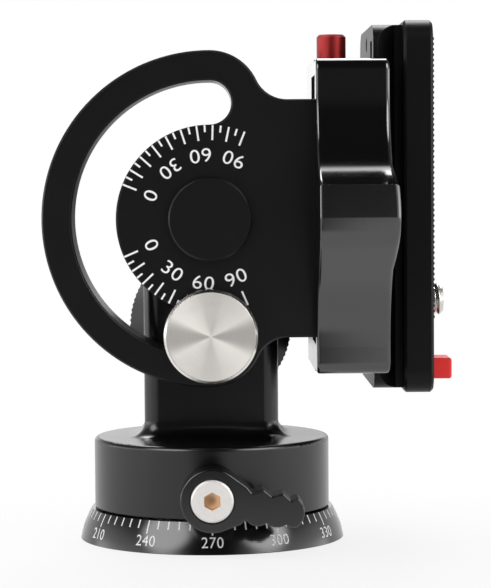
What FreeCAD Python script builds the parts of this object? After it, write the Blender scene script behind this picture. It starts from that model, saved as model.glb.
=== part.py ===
"""Two-way tilt head with a panning base, a slotted tilt arm and a dovetail camera clamp.

Units are millimetres. +Z is up, +X points to the camera plate, and +Y points away from the dial
side. The origin is the centre of the base's underside, on the pan axis. The head is drawn tilted to
its stop, so the camera plate stands upright.
"""
import FreeCAD, Part
import math
import os

from FreeCAD import Vector

# Running gap of a shaft in its own bore, and the gap between parts that pass each other
RUNNING_GAP = 0.05
PASSING_GAP = 0.3

# Base dial: a low flared ring
DIAL_FOOT_R = 25.65
DIAL_MID_R = 24.85
DIAL_TOP_R = 23.45
DIAL_MID_Z = 2.9
DIAL_H = 5.9
TRIPOD_THREAD_R = 4.2
TRIPOD_THREAD_DEPTH = 12.0
HUB_R = 8.0

# Pan spindle: drum with a V groove
DRUM_R = 15.5
DRUM_TOP_Z = 14.55
GROOVE_Z = 10.7
GROOVE_DEPTH = 2.1
THRUST_WASHER_H = 0.55
DIAL_SCREW_PITCH_R = 11.8
DIAL_SCREW_R = 1.5
DIAL_SCREW_HEAD_R = 2.8
DIAL_SCREW_LIP = 0.5
DIAL_SCREW_SUNK = 0.15

# Round housing
HOUSING_R = 22.85
HOUSING_BOTTOM_Z = DIAL_H + PASSING_GAP
HOUSING_TOP_Z = 19.7
HOUSING_EDGE_R = 0.8
CAVITY_TOP_Z = DRUM_TOP_Z + THRUST_WASHER_H + RUNNING_GAP

# Stem
STEM_HALF_W = 13.0
STEM_FRONT_Y = -5.3
STEM_BACK_Y = 10.3
STEM_CORNER_R = 2.8
STEM_FOOT_R = 3.1

# Retaining screws in the V groove
RETAINER_R = 2.0
RETAINER_ANGLES = (40.0, 140.0)
RETAINER_TIP_GAP = 0.2

# Pan lock lever
LEVER_SEAT_Y = -22.2
LEVER_SEAT_R = 5.2
LEVER_WASHER_R = 4.6
LEVER_BACK_Y = -24.4
LEVER_THICK = 6.0
LEVER_BOSS_R = 5.9
LEVER_CORNER_R = 0.25
LEVER_EDGE_R = 0.35
LEVER_SINK = 2.2
LEVER_SCREW_R = 2.5
LEVER_HEAD_R = 3.95
LEVER_HEAD_H = 2.6
LEVER_HEX = 3.0
SHOE_BACK_Y = -19.1

# Tilt pivot and arm
PIVOT_Z = 62.2
ARM_FRONT_Y = -19.0
ARM_BACK_Y = -6.0
SLOT_INNER_R = 17.64
SLOT_OUTER_R = 25.9
LOBE_R = 9.75
NECK_HALF_H = 22.3
NECK_FILLET_R = 6.25
ARM_CHAMFER = 0.3
PIVOT_SHAFT_R = 4.0
BUSH_R = 5.5
BUSH_FLANGE_R = 6.6
BUSH_FLANGE_H = 0.8
CAP_RECESS_R = 7.0
CAP_RECESS_DEPTH = 5.2
CAP_R = 7.85
CAP_H = 1.6
PIVOT_HEAD_R = 5.8
PIVOT_HEAD_H = 2.6
PIVOT_SPRING_H = 0.9
PIVOT_SPRING_T = 0.45
PIVOT_NUT_R = 6.5
PIVOT_NUT_H = 4.0

# Tilt lock: bolt through the slot and knob behind the stem
BOLT_Z = PIVOT_Z - (SLOT_INNER_R + SLOT_OUTER_R) / 2.0
BOLT_R = 3.0
BOLT_FLAT = 2.6
BOLT_TRAVEL = 1.0
HEAD_R = 8.78
HEAD_H = 3.75
HEAD_RIM = 0.45
SLOT_WASHER_R = 7.6
SLOT_WASHER_H = 0.6
KNOB_R = 16.2
KNOB_TOOTH = 0.22
KNOB_TEETH = 96
KNOB_FRONT_Y = STEM_BACK_Y + PASSING_GAP
KNOB_H = 12.2
KNOB_CONE_H = 2.4
KNOB_CONE_R = 12.8
INSERT_R = 5.0

# Clamp
CLAMP_MID_Z = 62.6
CLAMP_HALF_L = 29.3
CLAMP_BOTTOM_X = 19.7
CLAMP_FLOOR_X = 30.45
CLAMP_LIP_X = 33.45
CLAMP_NEAR_Y = -24.0
CLAMP_FAR_Y = 16.0
NEAR_BLOCK_FAR_Y = -16.0
NECK_SEAT_DEPTH = 0.6
NECK_SEAT_Z = (38.5, 89.0)
NECK_SEAT_FAR_Y = -4.6
BOSS_OUT = 13.5
BOSS_ROUND_R = 8.0
BOSS_SLOPE = math.radians(45.0)
BOSS_RISE = 0.9
BOSS_SWELL_HALF = 9.5
BOSS_RAMP_L = 8.0
FLARE_START = 23.4
FLARE_R = 18.0
BLOCK_CORNER_R = 2.2
EDGE_R = 0.5
TOP_EDGE_R = 0.9

# Camera plate, a dovetail 38 wide across its foot
DOVETAIL_X = 30.65
DOVETAIL_HALF_W = 19.0
DOVETAIL_EDGE_H = 0.8
DOVETAIL_SLOPE_H = 3.4
FLANGE_X = 36.25
PLATE_TOP_X = 41.8
PLATE_HALF_W = 20.0
PLATE_BOTTOM_Z = 29.2
PLATE_L = 70.0
PLATE_CORNER_R = 4.0
DOVETAIL_INSET = 0.8
PAD_SUNK = 0.7
PAD_PROUD = 0.45
PAD_VALLEY = 0.25
PAD_HALF_W = 16.5
PAD_LOW_Z = 43.0
PAD_HIGH_Z = 96.2
PAD_RIB_PITCH = 1.0
STOP_SCREW_R = 1.5
STOP_SCREW_INSET = 3.8
STOP_SCREW_SUNK = 0.5
JAW_GAP = 0.15

# Camera screw, 1/4 inch, in a slot of the plate
SCREW_Z = 45.9
SCREW_R = 3.1
SCREW_NECK_R = 2.4
SCREW_THREAD_X = 42.35
SCREW_TIP_R = 2.5
SCREW_TIP_X = 45.3
SCREW_HEAD_R = 6.2
SLOT_TRAVEL = 25.0
POCKET_X = 34.8
POCKET_HALF_W = 8.0

# Red stop tab at the plate's lower end
TAB_PIN_X = 39.4
TAB_PIN_Z = 32.7
TAB_HALF_T = 2.0
TAB_TIP_X = 46.75
TAB_HALF_W = 4.0

# Clamp screw, jaw guides and knob
CLAMP_SCREW_X = 25.6
CLAMP_SCREW_R = 3.0
JAW_OUT_Y = 23.5
JAW_BOTTOM_X = 20.6
GUIDE_OFFSET = 19.5
GUIDE_R = 2.0
CLAMP_KNOB_R = 12.5
CLAMP_KNOB_H = 12.0
CLAMP_KNOB_LOBES = 12

# Release button and safety pin
BUTTON_X = 23.1
BUTTON_Y = -13.0
BUTTON_R = 2.75
BUTTON_TOP_Z = 96.7
SAFETY_PIN_Z = 83.0
SAFETY_PIN_R = 1.8
SAFETY_PIN_TOP_X = 31.9
SAFETY_PIN_BORE_X = 20.3
PIN_WIRE_R = 0.12
BUTTON_TRAVEL = 1.6
BUTTON_INNER_Z = 86.4

# Lever outline from its boss centre, (across, up): one point ends a line, two make an arc
LEVER_SPANS = [
    [(-LEVER_BOSS_R, 0.0), (3.27, 4.91)],
    [(6.44, 2.6)], [(7.35, 1.45)], [(9.45, 2.1)], [(11.0, 0.8)], [(13.05, 1.4)], [(14.45, 0.05)],
    [(15.75, 0.5)],
    [(16.95, -1.9), (15.6, -4.9)],
    [(14.8, -5.0), (13.5, -4.5)],
    [(12.0, -4.98), (9.87, -4.15)],
    [(8.4, -4.7), (6.1, -3.5)],
    [(5.2, -4.4)], [(1.98, -5.56)],
]

X_AXIS = Vector(1, 0, 0)
Y_AXIS = Vector(0, 1, 0)
Z_AXIS = Vector(0, 0, 1)


def box(x0, x1, y0, y1, z0, z1):
    """Return a box between two corners."""
    return Part.makeBox(x1 - x0, y1 - y0, z1 - z0, Vector(x0, y0, z0))


def rod(radius, start, length, axis):
    """Return a cylinder of the given length from start along axis."""
    return Part.makeCylinder(radius, length, Vector(*start), axis)


def tube(outer, inner, start, length, axis):
    """Return a tube from start along axis."""
    return rod(outer, start, length, axis).cut(rod(inner, start, length, axis))


def cone(r0, r1, start, length, axis):
    """Return a cone whose radius goes from r0 to r1 along axis."""
    return Part.makeCone(r0, r1, length, Vector(*start), axis)


def fused(shapes):
    """Return the union of the shapes with merged faces."""
    whole = shapes[0]
    for shape in shapes[1:]:
        whole = whole.fuse(shape)
    return whole.removeSplitter()


def group(shapes):
    """Return the shapes as one compound of separate solids."""
    return Part.makeCompound(shapes)


def extruded(edges, vector):
    """Return the solid swept by a closed outline along vector."""
    return Part.Face(Part.Wire(edges)).extrude(vector)


def polygon(points, vector):
    """Return the solid swept by a closed polygon along vector."""
    closed = [Vector(*p) for p in points]
    return Part.Face(Part.makePolygon(closed + closed[:1])).extrude(vector)


def hex_prism(across_flats, start, length, axis):
    """Return a hexagonal prism along Y or X, one vertex pointing down."""
    radius = across_flats / math.sqrt(3.0)
    points = []
    for step in range(6):
        angle = math.radians(60.0 * step + 90.0)
        side = radius * math.cos(angle)
        up = radius * math.sin(angle)
        offset = Vector(side, 0, up) if axis.y else Vector(0, side, up)
        points.append(Vector(*start) + offset)
    return Part.Face(Part.makePolygon(points + points[:1])).extrude(axis * length)


def arc(a, b, c):
    """Return the arc edge from a through b to c."""
    return Part.Arc(Vector(*a), Vector(*b), Vector(*c)).toShape()


def line(a, b):
    """Return the straight edge from a to b."""
    return Part.LineSegment(Vector(*a), Vector(*b)).toShape()


def revolved(profile):
    """Return the solid of revolution about Z of a closed profile of (radius, height) points."""
    points = [Vector(r, 0, z) for r, z in profile]
    face = Part.Face(Part.makePolygon(points + points[:1]))
    return face.revolve(Vector(0, 0, 0), Z_AXIS, 360)


def coil(radius, wire_r, turns, height, start, axis):
    """Return a compression spring: one unbroken six-sided wire wound along axis from start."""
    helix = Part.makeHelix(height / turns, height, radius)
    points = []
    for step in range(6):
        angle = math.radians(60.0 * step)
        points.append(Vector(radius + wire_r * math.cos(angle), 0, wire_r * math.sin(angle)))
    section = Part.makePolygon(points + points[:1])
    wire = Part.Wire(helix.Edges).makePipeShell([section], True, True)
    wire.Placement = FreeCAD.Placement(Vector(*start), FreeCAD.Rotation(Z_AXIS, axis))
    return wire


def toward(degrees):
    """Return the horizontal direction at an angle from +X."""
    return Vector(math.cos(math.radians(degrees)), math.sin(math.radians(degrees)), 0)


def groove_cone(tip_gap, axis, back_radius):
    """Return a cone point that fits the V groove from outside, pointing at the pan axis."""
    bottom = DRUM_R - GROOVE_DEPTH + tip_gap
    tip = 0.35
    start = axis * (bottom + tip)
    point = (start.x, start.y, GROOVE_Z)
    return cone(tip, back_radius, point, back_radius - tip, axis), bottom + back_radius


def base_dial():
    """Flared ring that carries the pan scale, screwed to the spindle."""
    flare = arc((DIAL_TOP_R, 0, DIAL_H), (DIAL_MID_R, 0, DIAL_MID_Z), (DIAL_FOOT_R, 0, 0))
    outline = [
        flare,
        line((DIAL_FOOT_R, 0, 0), (HUB_R, 0, 0)),
        line((HUB_R, 0, 0), (HUB_R, 0, DIAL_H)),
        line((HUB_R, 0, DIAL_H), (DIAL_TOP_R, 0, DIAL_H)),
    ]
    body = Part.Face(Part.Wire(outline)).revolve(Vector(0, 0, 0), Z_AXIS, 360)
    return body.cut(group(dial_screw_bodies()))


def pan_spindle():
    """Steel drum with the V groove, the hub through the dial and the tripod thread."""
    groove_half = GROOVE_DEPTH
    groove_bottom = DRUM_R - GROOVE_DEPTH
    drum = revolved([
        (0, DIAL_H), (DRUM_R, DIAL_H), (DRUM_R, GROOVE_Z - groove_half), (groove_bottom, GROOVE_Z),
        (DRUM_R, GROOVE_Z + groove_half), (DRUM_R, DRUM_TOP_Z), (0, DRUM_TOP_Z),
    ])
    hub = rod(HUB_R, (0, 0, 0), DIAL_H, Z_AXIS)
    thread = rod(TRIPOD_THREAD_R, (0, 0, 0), TRIPOD_THREAD_DEPTH, Z_AXIS)
    return fused([drum, hub]).cut(thread).cut(group(dial_screw_bodies()))


def dial_screw_bodies():
    """Return the three countersunk screw shapes without sockets, running out of the dial below."""
    bodies = []
    taper = DIAL_SCREW_HEAD_R - DIAL_SCREW_R
    for index in range(3):
        spot = toward(90.0 + 120.0 * index) * DIAL_SCREW_PITCH_R
        disc = rod(DIAL_SCREW_HEAD_R, (spot.x, spot.y, 0), DIAL_SCREW_LIP, Z_AXIS)
        head = cone(DIAL_SCREW_HEAD_R, DIAL_SCREW_R, (spot.x, spot.y, DIAL_SCREW_LIP), taper, Z_AXIS)
        shank = rod(DIAL_SCREW_R, (spot.x, spot.y, DIAL_SCREW_LIP), DIAL_H + 2.0, Z_AXIS)
        bodies.append(fused([disc, head, shank]))
    return bodies


def dial_screws():
    """Three countersunk screws from below."""
    screws = []
    for index, body in enumerate(dial_screw_bodies()):
        spot = toward(90.0 + 120.0 * index) * DIAL_SCREW_PITCH_R
        sunk = box(-30, 30, -30, 30, -1, DIAL_SCREW_SUNK)
        points = [Vector(spot.x, spot.y, 0) + toward(60.0 * step) for step in range(6)]
        socket = Part.Face(Part.makePolygon(points + points[:1])).extrude(Z_AXIS * 1.5)
        screws.append(body.cut(sunk).cut(socket))
    return group(screws)


def thrust_washer():
    """Slip washer on the drum's top."""
    return tube(DRUM_R - 0.5, 5.0, (0, 0, DRUM_TOP_Z), THRUST_WASHER_H, Z_AXIS)


def stem_blank():
    """Return the upright stem with a round head and rounded corners."""
    depth = STEM_BACK_Y - STEM_FRONT_Y
    upright = box(-STEM_HALF_W, STEM_HALF_W, STEM_FRONT_Y, STEM_BACK_Y, HOUSING_TOP_Z - 1.0, PIVOT_Z)
    head = rod(STEM_HALF_W, (0, STEM_FRONT_Y, PIVOT_Z), depth, Y_AXIS)
    stem = fused([upright, head])
    corners = []
    for edge in stem.Edges:
        bounds = edge.BoundBox
        on_face = abs(bounds.YMin - bounds.YMax) < 0.01
        low = bounds.ZMax < HOUSING_TOP_Z
        upright_corner = bounds.XMax - bounds.XMin < 0.01 or bounds.ZMin > HOUSING_TOP_Z + 1.0
        if on_face and upright_corner and not low:
            corners.append(edge)
    return stem.makeFillet(STEM_CORNER_R, corners)


def stem_housing():
    """Round housing and stem in one piece, with the bores for spindle, lever and tilt axis."""
    height = HOUSING_TOP_Z - HOUSING_BOTTOM_Z
    drum = rod(HOUSING_R, (0, 0, HOUSING_BOTTOM_Z), height, Z_AXIS)
    top = [e for e in drum.Edges if e.BoundBox.ZMin > HOUSING_TOP_Z - 0.01]
    drum = drum.makeFillet(HOUSING_EDGE_R, top)
    bottom = [e for e in drum.Edges if e.BoundBox.ZMax < HOUSING_BOTTOM_Z + 0.01]
    drum = drum.makeChamfer(0.1, bottom)
    body = drum.fuse(stem_blank()).removeSplitter()
    foot = []
    for edge in body.Edges:
        bounds = edge.BoundBox
        level = abs(bounds.ZMax - HOUSING_TOP_Z) < 0.01 and abs(bounds.ZMin - HOUSING_TOP_Z) < 0.01
        if level and max(abs(bounds.XMin), abs(bounds.XMax)) < STEM_HALF_W + 0.1:
            foot.append(edge)
    body = body.makeFillet(STEM_FOOT_R, foot)
    body = body.cut(rod(DRUM_R + RUNNING_GAP, (0, 0, 0), CAVITY_TOP_Z, Z_AXIS))
    for degrees in RETAINER_ANGLES:
        body = body.cut(rod(RETAINER_R, (0, 0, GROOVE_Z), HOUSING_R + 1.0, toward(degrees)))
    shoe_bore = LEVER_SCREW_R + RUNNING_GAP
    body = body.cut(rod(shoe_bore, (0, 0, GROOVE_Z), HOUSING_R + 1.0, -Y_AXIS))
    body = body.cut(rod(LEVER_SEAT_R, (0, LEVER_SEAT_Y, GROOVE_Z), 3.0, -Y_AXIS))
    depth = STEM_BACK_Y - STEM_FRONT_Y
    body = body.cut(rod(PIVOT_SHAFT_R, (0, STEM_FRONT_Y, PIVOT_Z), depth, Y_AXIS))
    body = body.cut(rod(PIVOT_NUT_R + 0.3, (0, STEM_BACK_Y - PIVOT_NUT_H, PIVOT_Z), 5.0, Y_AXIS))
    return body.cut(bolt_bore(STEM_FRONT_Y, depth, RUNNING_GAP))


def bolt_bore(y, length, gap):
    """Return the flatted round section of the tilt lock bolt, grown by a gap."""
    round_part = rod(BOLT_R + gap, (0, y, BOLT_Z), length, Y_AXIS)
    flat = BOLT_FLAT + gap
    return round_part.common(box(-flat, flat, y, y + length, BOLT_Z - 5, BOLT_Z + 5))


def retaining_screws():
    """Two cone-point screws at the back that ride in the V groove."""
    screws = []
    for degrees in RETAINER_ANGLES:
        axis = toward(degrees)
        tip, start = groove_cone(RETAINER_TIP_GAP, axis, RETAINER_R)
        base = axis * start
        length = HOUSING_R - 0.4 - start
        body = rod(RETAINER_R, (base.x, base.y, GROOVE_Z), length, axis)
        socket_start = axis * (start + length - 1.6)
        socket = rod(1.0, (socket_start.x, socket_start.y, GROOVE_Z), 2.0, axis)
        screws.append(fused([tip, body]).cut(socket))
    return group(screws)


def lever_washer():
    """Spacer between the housing and the pan lever."""
    inner = LEVER_SCREW_R + 0.1
    length = LEVER_SEAT_Y - LEVER_BACK_Y - 0.2
    return tube(LEVER_WASHER_R, inner, (0, LEVER_SEAT_Y - length, GROOVE_Z), length, Y_AXIS)


def lever_outline():
    """Return the lever's outline in the plane Y = 0, boss at the origin, arm towards +X."""
    edges = []
    start = LEVER_SPANS[-1][-1]
    for span in LEVER_SPANS:
        points = [(across, 0, up) for across, up in (start, *span)]
        edges.append(line(*points) if len(points) == 2 else arc(*points))
        start = span[-1]
    return edges


def pan_lock_lever():
    """Lever with saw teeth above and scallops below, turning on the lever screw."""
    blank = extruded(lever_outline(), Vector(0, -LEVER_THICK, 0))
    upright = [e for e in blank.Edges if e.BoundBox.XMax - e.BoundBox.XMin < 0.01]
    blank = blank.makeFillet(LEVER_CORNER_R, [e for e in upright if e.BoundBox.XMin > LEVER_SCREW_R])
    front = [e for e in blank.Edges if e.BoundBox.YMax < -LEVER_THICK + 0.01]
    blank = blank.makeFillet(LEVER_EDGE_R, front)
    blank.translate(Vector(0, LEVER_BACK_Y, GROOVE_Z))
    bore = rod(LEVER_SCREW_R, (0, LEVER_BACK_Y, GROOVE_Z), LEVER_THICK + 1, -Y_AXIS)
    sink_y = LEVER_BACK_Y - LEVER_THICK + LEVER_SINK
    sink = rod(LEVER_HEAD_R + 0.25, (0, sink_y, GROOVE_Z), 5.0, -Y_AXIS)
    return blank.cut(bore).cut(sink)


def lever_screw():
    """Socket screw that turns with the lever and presses the brake shoe."""
    sink_y = LEVER_BACK_Y - LEVER_THICK + LEVER_SINK
    head = rod(LEVER_HEAD_R, (0, sink_y, GROOVE_Z), LEVER_HEAD_H, -Y_AXIS)
    rim = [e for e in head.Edges if e.BoundBox.YMax < sink_y - LEVER_HEAD_H + 0.01]
    head = head.makeChamfer(0.3, rim)
    tip_y = SHOE_BACK_Y - 0.1
    shank = rod(LEVER_SCREW_R, (0, sink_y, GROOVE_Z), tip_y - sink_y, Y_AXIS)
    socket = hex_prism(LEVER_HEX, (0, sink_y - LEVER_HEAD_H, GROOVE_Z), 2.0, Y_AXIS)
    return fused([head, shank]).cut(socket)


def pan_brake_shoe():
    """Cone-ended shoe in the lever screw's bore."""
    tip, start = groove_cone(0.12, -Y_AXIS, LEVER_SCREW_R - 0.3)
    length = -SHOE_BACK_Y - start
    body = rod(LEVER_SCREW_R - 0.02, (0, -start, GROOVE_Z), length, -Y_AXIS)
    return fused([tip, body])


def pivot_bolt():
    """Shoulder bolt of the tilt axis, head under the cap."""
    head_back = ARM_FRONT_Y + CAP_RECESS_DEPTH - BUSH_FLANGE_H - PIVOT_SPRING_H
    head = rod(PIVOT_HEAD_R, (0, head_back, PIVOT_Z), PIVOT_HEAD_H, -Y_AXIS)
    shank = rod(PIVOT_SHAFT_R, (0, head_back, PIVOT_Z), STEM_BACK_Y - 0.6 - head_back, Y_AXIS)
    socket = hex_prism(4.0, (0, head_back - PIVOT_HEAD_H, PIVOT_Z), 1.8, Y_AXIS)
    return fused([head, shank]).cut(socket)


def pivot_spring_washer():
    """Cupped washer between the bolt head and the bush, its rim on the bush's flange."""
    rise = PIVOT_SPRING_H - PIVOT_SPRING_T - RUNNING_GAP
    inner = PIVOT_SHAFT_R
    outer = PIVOT_HEAD_R
    profile = [
        (inner, PIVOT_SPRING_H - RUNNING_GAP), (outer, PIVOT_SPRING_T),
        (outer, 0.0), (inner, rise),
    ]
    cup = revolved(profile)
    cup.rotate(Vector(0, 0, 0), X_AXIS, 90)
    cup.translate(Vector(0, ARM_FRONT_Y + CAP_RECESS_DEPTH - BUSH_FLANGE_H - RUNNING_GAP, PIVOT_Z))
    return cup


def pivot_nut():
    """Round slotted nut in the stem's back."""
    nut = rod(PIVOT_NUT_R, (0, STEM_BACK_Y - PIVOT_NUT_H, PIVOT_Z), PIVOT_NUT_H - 0.3, Y_AXIS)
    nut = nut.cut(rod(PIVOT_SHAFT_R, (0, 0, PIVOT_Z), STEM_BACK_Y, Y_AXIS))
    slot_y = STEM_BACK_Y - 1.6
    for offset in (-5.4, 5.4):
        nut = nut.cut(rod(0.8, (offset, slot_y, PIVOT_Z), 2.0, Y_AXIS))
    return nut


def tilt_friction_washer():
    """Slip washer between stem and arm."""
    length = STEM_FRONT_Y - ARM_BACK_Y - 0.1
    return tube(11.5, PIVOT_SHAFT_R, (0, ARM_BACK_Y + 0.1, PIVOT_Z), length, Y_AXIS)


def mirrored_down(point):
    """Return a point mirrored through the tilt axis's level."""
    return (point[0], point[1], 2.0 * PIVOT_Z - point[2])


def arm_outline(y):
    """Return the arm's outer outline at depth y."""
    lobe_z = PIVOT_Z + (SLOT_INNER_R + SLOT_OUTER_R) / 2.0
    fillet_z = PIVOT_Z + NECK_HALF_H + NECK_FILLET_R
    reach = LOBE_R + NECK_FILLET_R
    fillet_x = math.sqrt(reach ** 2 - (fillet_z - lobe_z) ** 2)
    share = LOBE_R / reach
    tangent = (fillet_x * share, y, lobe_z + (fillet_z - lobe_z) * share)
    half = math.atan2(fillet_z - lobe_z, fillet_x)
    lobe_mid_angle = (half + math.pi / 2.0) / 2.0
    lobe_mid = (LOBE_R * math.cos(lobe_mid_angle), y, lobe_z + LOBE_R * math.sin(lobe_mid_angle))
    outer_r = lobe_z - PIVOT_Z + LOBE_R
    crown = (0, y, PIVOT_Z + outer_r)
    neck_start = (fillet_x, y, PIVOT_Z + NECK_HALF_H)
    fillet_angle = (half + math.pi + 1.5 * math.pi) / 2.0
    fillet_mid = (fillet_x + NECK_FILLET_R * math.cos(fillet_angle), y,
                  fillet_z + NECK_FILLET_R * math.sin(fillet_angle))
    neck_end = (CLAMP_BOTTOM_X + NECK_SEAT_DEPTH, y, PIVOT_Z + NECK_HALF_H)
    return [
        line(neck_end, neck_start),
        arc(neck_start, fillet_mid, tangent),
        arc(tangent, lobe_mid, crown),
        arc(crown, (-outer_r, y, PIVOT_Z), mirrored_down(crown)),
        arc(mirrored_down(crown), mirrored_down(lobe_mid), mirrored_down(tangent)),
        arc(mirrored_down(tangent), mirrored_down(fillet_mid), mirrored_down(neck_start)),
        line(mirrored_down(neck_start), mirrored_down(neck_end)),
        line(mirrored_down(neck_end), neck_end),
    ]


def slot_outline(y):
    """Return the half-ring slot's outline at depth y."""
    mean = (SLOT_INNER_R + SLOT_OUTER_R) / 2.0
    half = (SLOT_OUTER_R - SLOT_INNER_R) / 2.0
    top_out = (0, y, PIVOT_Z + SLOT_OUTER_R)
    top_in = (0, y, PIVOT_Z + SLOT_INNER_R)
    return [
        arc(top_out, (-SLOT_OUTER_R, y, PIVOT_Z), mirrored_down(top_out)),
        arc(mirrored_down(top_out), (half, y, PIVOT_Z - mean), mirrored_down(top_in)),
        arc(mirrored_down(top_in), (-SLOT_INNER_R, y, PIVOT_Z), top_in),
        arc(top_in, (half, y, PIVOT_Z + mean), top_out),
    ]


def tilt_plate():
    """Arm with the half-ring slot, the dial face and the neck to the clamp."""
    thick = Vector(0, ARM_BACK_Y - ARM_FRONT_Y, 0)
    plate = extruded(arm_outline(ARM_FRONT_Y), thick).cut(extruded(slot_outline(ARM_FRONT_Y), thick))
    faces = []
    for edge in plate.Edges:
        bounds = edge.BoundBox
        flat = bounds.YMax - bounds.YMin < 0.01
        if flat and bounds.XMin < CLAMP_BOTTOM_X - 1.0:
            faces.append(edge)
    plate = plate.makeChamfer(ARM_CHAMFER, faces)
    plate = plate.cut(rod(CAP_RECESS_R, (0, ARM_FRONT_Y, PIVOT_Z), CAP_RECESS_DEPTH, Y_AXIS))
    plate = plate.cut(rod(BUSH_R, (0, ARM_FRONT_Y, PIVOT_Z), 20.0, Y_AXIS))
    return plate.cut(clamp_mount_screws()).cut(clamp_dowels())


def pivot_bushing():
    """Flanged bush in the arm."""
    flange_y = ARM_FRONT_Y + CAP_RECESS_DEPTH - BUSH_FLANGE_H
    flange = rod(BUSH_FLANGE_R, (0, flange_y, PIVOT_Z), BUSH_FLANGE_H, Y_AXIS)
    sleeve = rod(BUSH_R, (0, flange_y, PIVOT_Z), ARM_BACK_Y - flange_y, Y_AXIS)
    bore = rod(PIVOT_SHAFT_R + RUNNING_GAP, (0, flange_y, PIVOT_Z), 20.0, Y_AXIS)
    return fused([flange, sleeve]).cut(bore)


def pivot_cap():
    """Round cap over the pivot, snapped into the arm."""
    face_y = ARM_FRONT_Y - CAP_H
    disc = rod(CAP_R, (0, face_y, PIVOT_Z), CAP_H, Y_AXIS)
    rim = [e for e in disc.Edges if e.BoundBox.YMax < face_y + 0.01]
    disc = disc.makeChamfer(0.3, rim)
    skirt = tube(CAP_RECESS_R, PIVOT_HEAD_R + 0.5, (0, ARM_FRONT_Y, PIVOT_Z), 1.4, Y_AXIS)
    return fused([disc, skirt])


def tilt_clamp_bolt():
    """Turned disc head and its flatted shank through slot, stem and knob."""
    head_back = ARM_FRONT_Y - 0.05 - SLOT_WASHER_H
    head = rod(HEAD_R, (0, head_back, BOLT_Z), HEAD_H, -Y_AXIS)
    rims = [e for e in head.Edges if e.BoundBox.YMax - e.BoundBox.YMin < 0.01]
    head = head.makeChamfer(HEAD_RIM, rims)
    plain = bolt_bore(head_back, STEM_BACK_Y - head_back, 0.0)
    thread_r = BOLT_R - 0.1
    run_out = BOLT_TRAVEL + 0.3
    flats = rod(thread_r, (0, STEM_BACK_Y, BOLT_Z), run_out, Y_AXIS)
    flats = flats.common(bolt_bore(STEM_BACK_Y, run_out, 0.0))
    thread = rod(thread_r, (0, STEM_BACK_Y + run_out, BOLT_Z), 9.5 - run_out, Y_AXIS)
    return fused([head, plain, flats, thread])


def slot_washer():
    """Washer between the disc head and the arm."""
    return tube(SLOT_WASHER_R, BOLT_R, (0, ARM_FRONT_Y - 0.05, BOLT_Z), SLOT_WASHER_H, -Y_AXIS)


def slot_bushing():
    """Sleeve on the bolt that runs in the slot and meets its ends."""
    radius = (SLOT_OUTER_R - SLOT_INNER_R) / 2.0 - 0.15
    length = ARM_BACK_Y - ARM_FRONT_Y - 0.2
    return tube(radius, BOLT_R, (0, ARM_FRONT_Y + 0.1, BOLT_Z), length, Y_AXIS)


def toothed_disc(radius, depth, teeth, start, length, axis):
    """Return a disc along Y whose edge is a fine zigzag knurl."""
    points = []
    for step in range(2 * teeth):
        angle = math.pi * step / teeth
        reach = radius if step % 2 == 0 else radius - depth
        points.append((start[0] + reach * math.cos(angle), start[1], start[2] + reach * math.sin(angle)))
    return polygon(points, axis * length)


def tilt_lock_knob():
    """Finely knurled knob behind the stem."""
    start = (0, KNOB_FRONT_Y, BOLT_Z)
    disc = toothed_disc(KNOB_R, KNOB_TOOTH, KNOB_TEETH, start, KNOB_H, Y_AXIS)
    front = cone(KNOB_CONE_R, KNOB_R + 0.4, start, KNOB_CONE_H, Y_AXIS)
    band_y = KNOB_FRONT_Y + KNOB_CONE_H
    band = rod(KNOB_R + 1, (0, band_y, BOLT_Z), KNOB_H - KNOB_CONE_H - 1.2, Y_AXIS)
    back_y = KNOB_FRONT_Y + KNOB_H - 1.2
    back = cone(KNOB_R + 0.1, KNOB_R - 1.3, (0, back_y, BOLT_Z), 1.2, Y_AXIS)
    knob = disc.common(fused([front, band, back]))
    recess = rod(10.5, (0, KNOB_FRONT_Y + KNOB_H - 1.0, BOLT_Z), 2.0, Y_AXIS)
    return knob.cut(recess).cut(rod(INSERT_R, start, 30.0, Y_AXIS))


def knob_insert():
    """Threaded insert pressed into the tilt knob."""
    length = KNOB_H - 1.0
    bore = BOLT_R - 0.1 + RUNNING_GAP
    return tube(INSERT_R, bore, (0, KNOB_FRONT_Y, BOLT_Z), length, Y_AXIS)


def knob_end_cap():
    """Flat cap in the knob's back recess."""
    cap = rod(10.5, (0, KNOB_FRONT_Y + KNOB_H - 1.0, BOLT_Z), 1.3, Y_AXIS)
    rim = [e for e in cap.Edges if e.BoundBox.YMin > KNOB_FRONT_Y + KNOB_H + 0.2]
    return cap.makeChamfer(0.3, rim)


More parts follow.
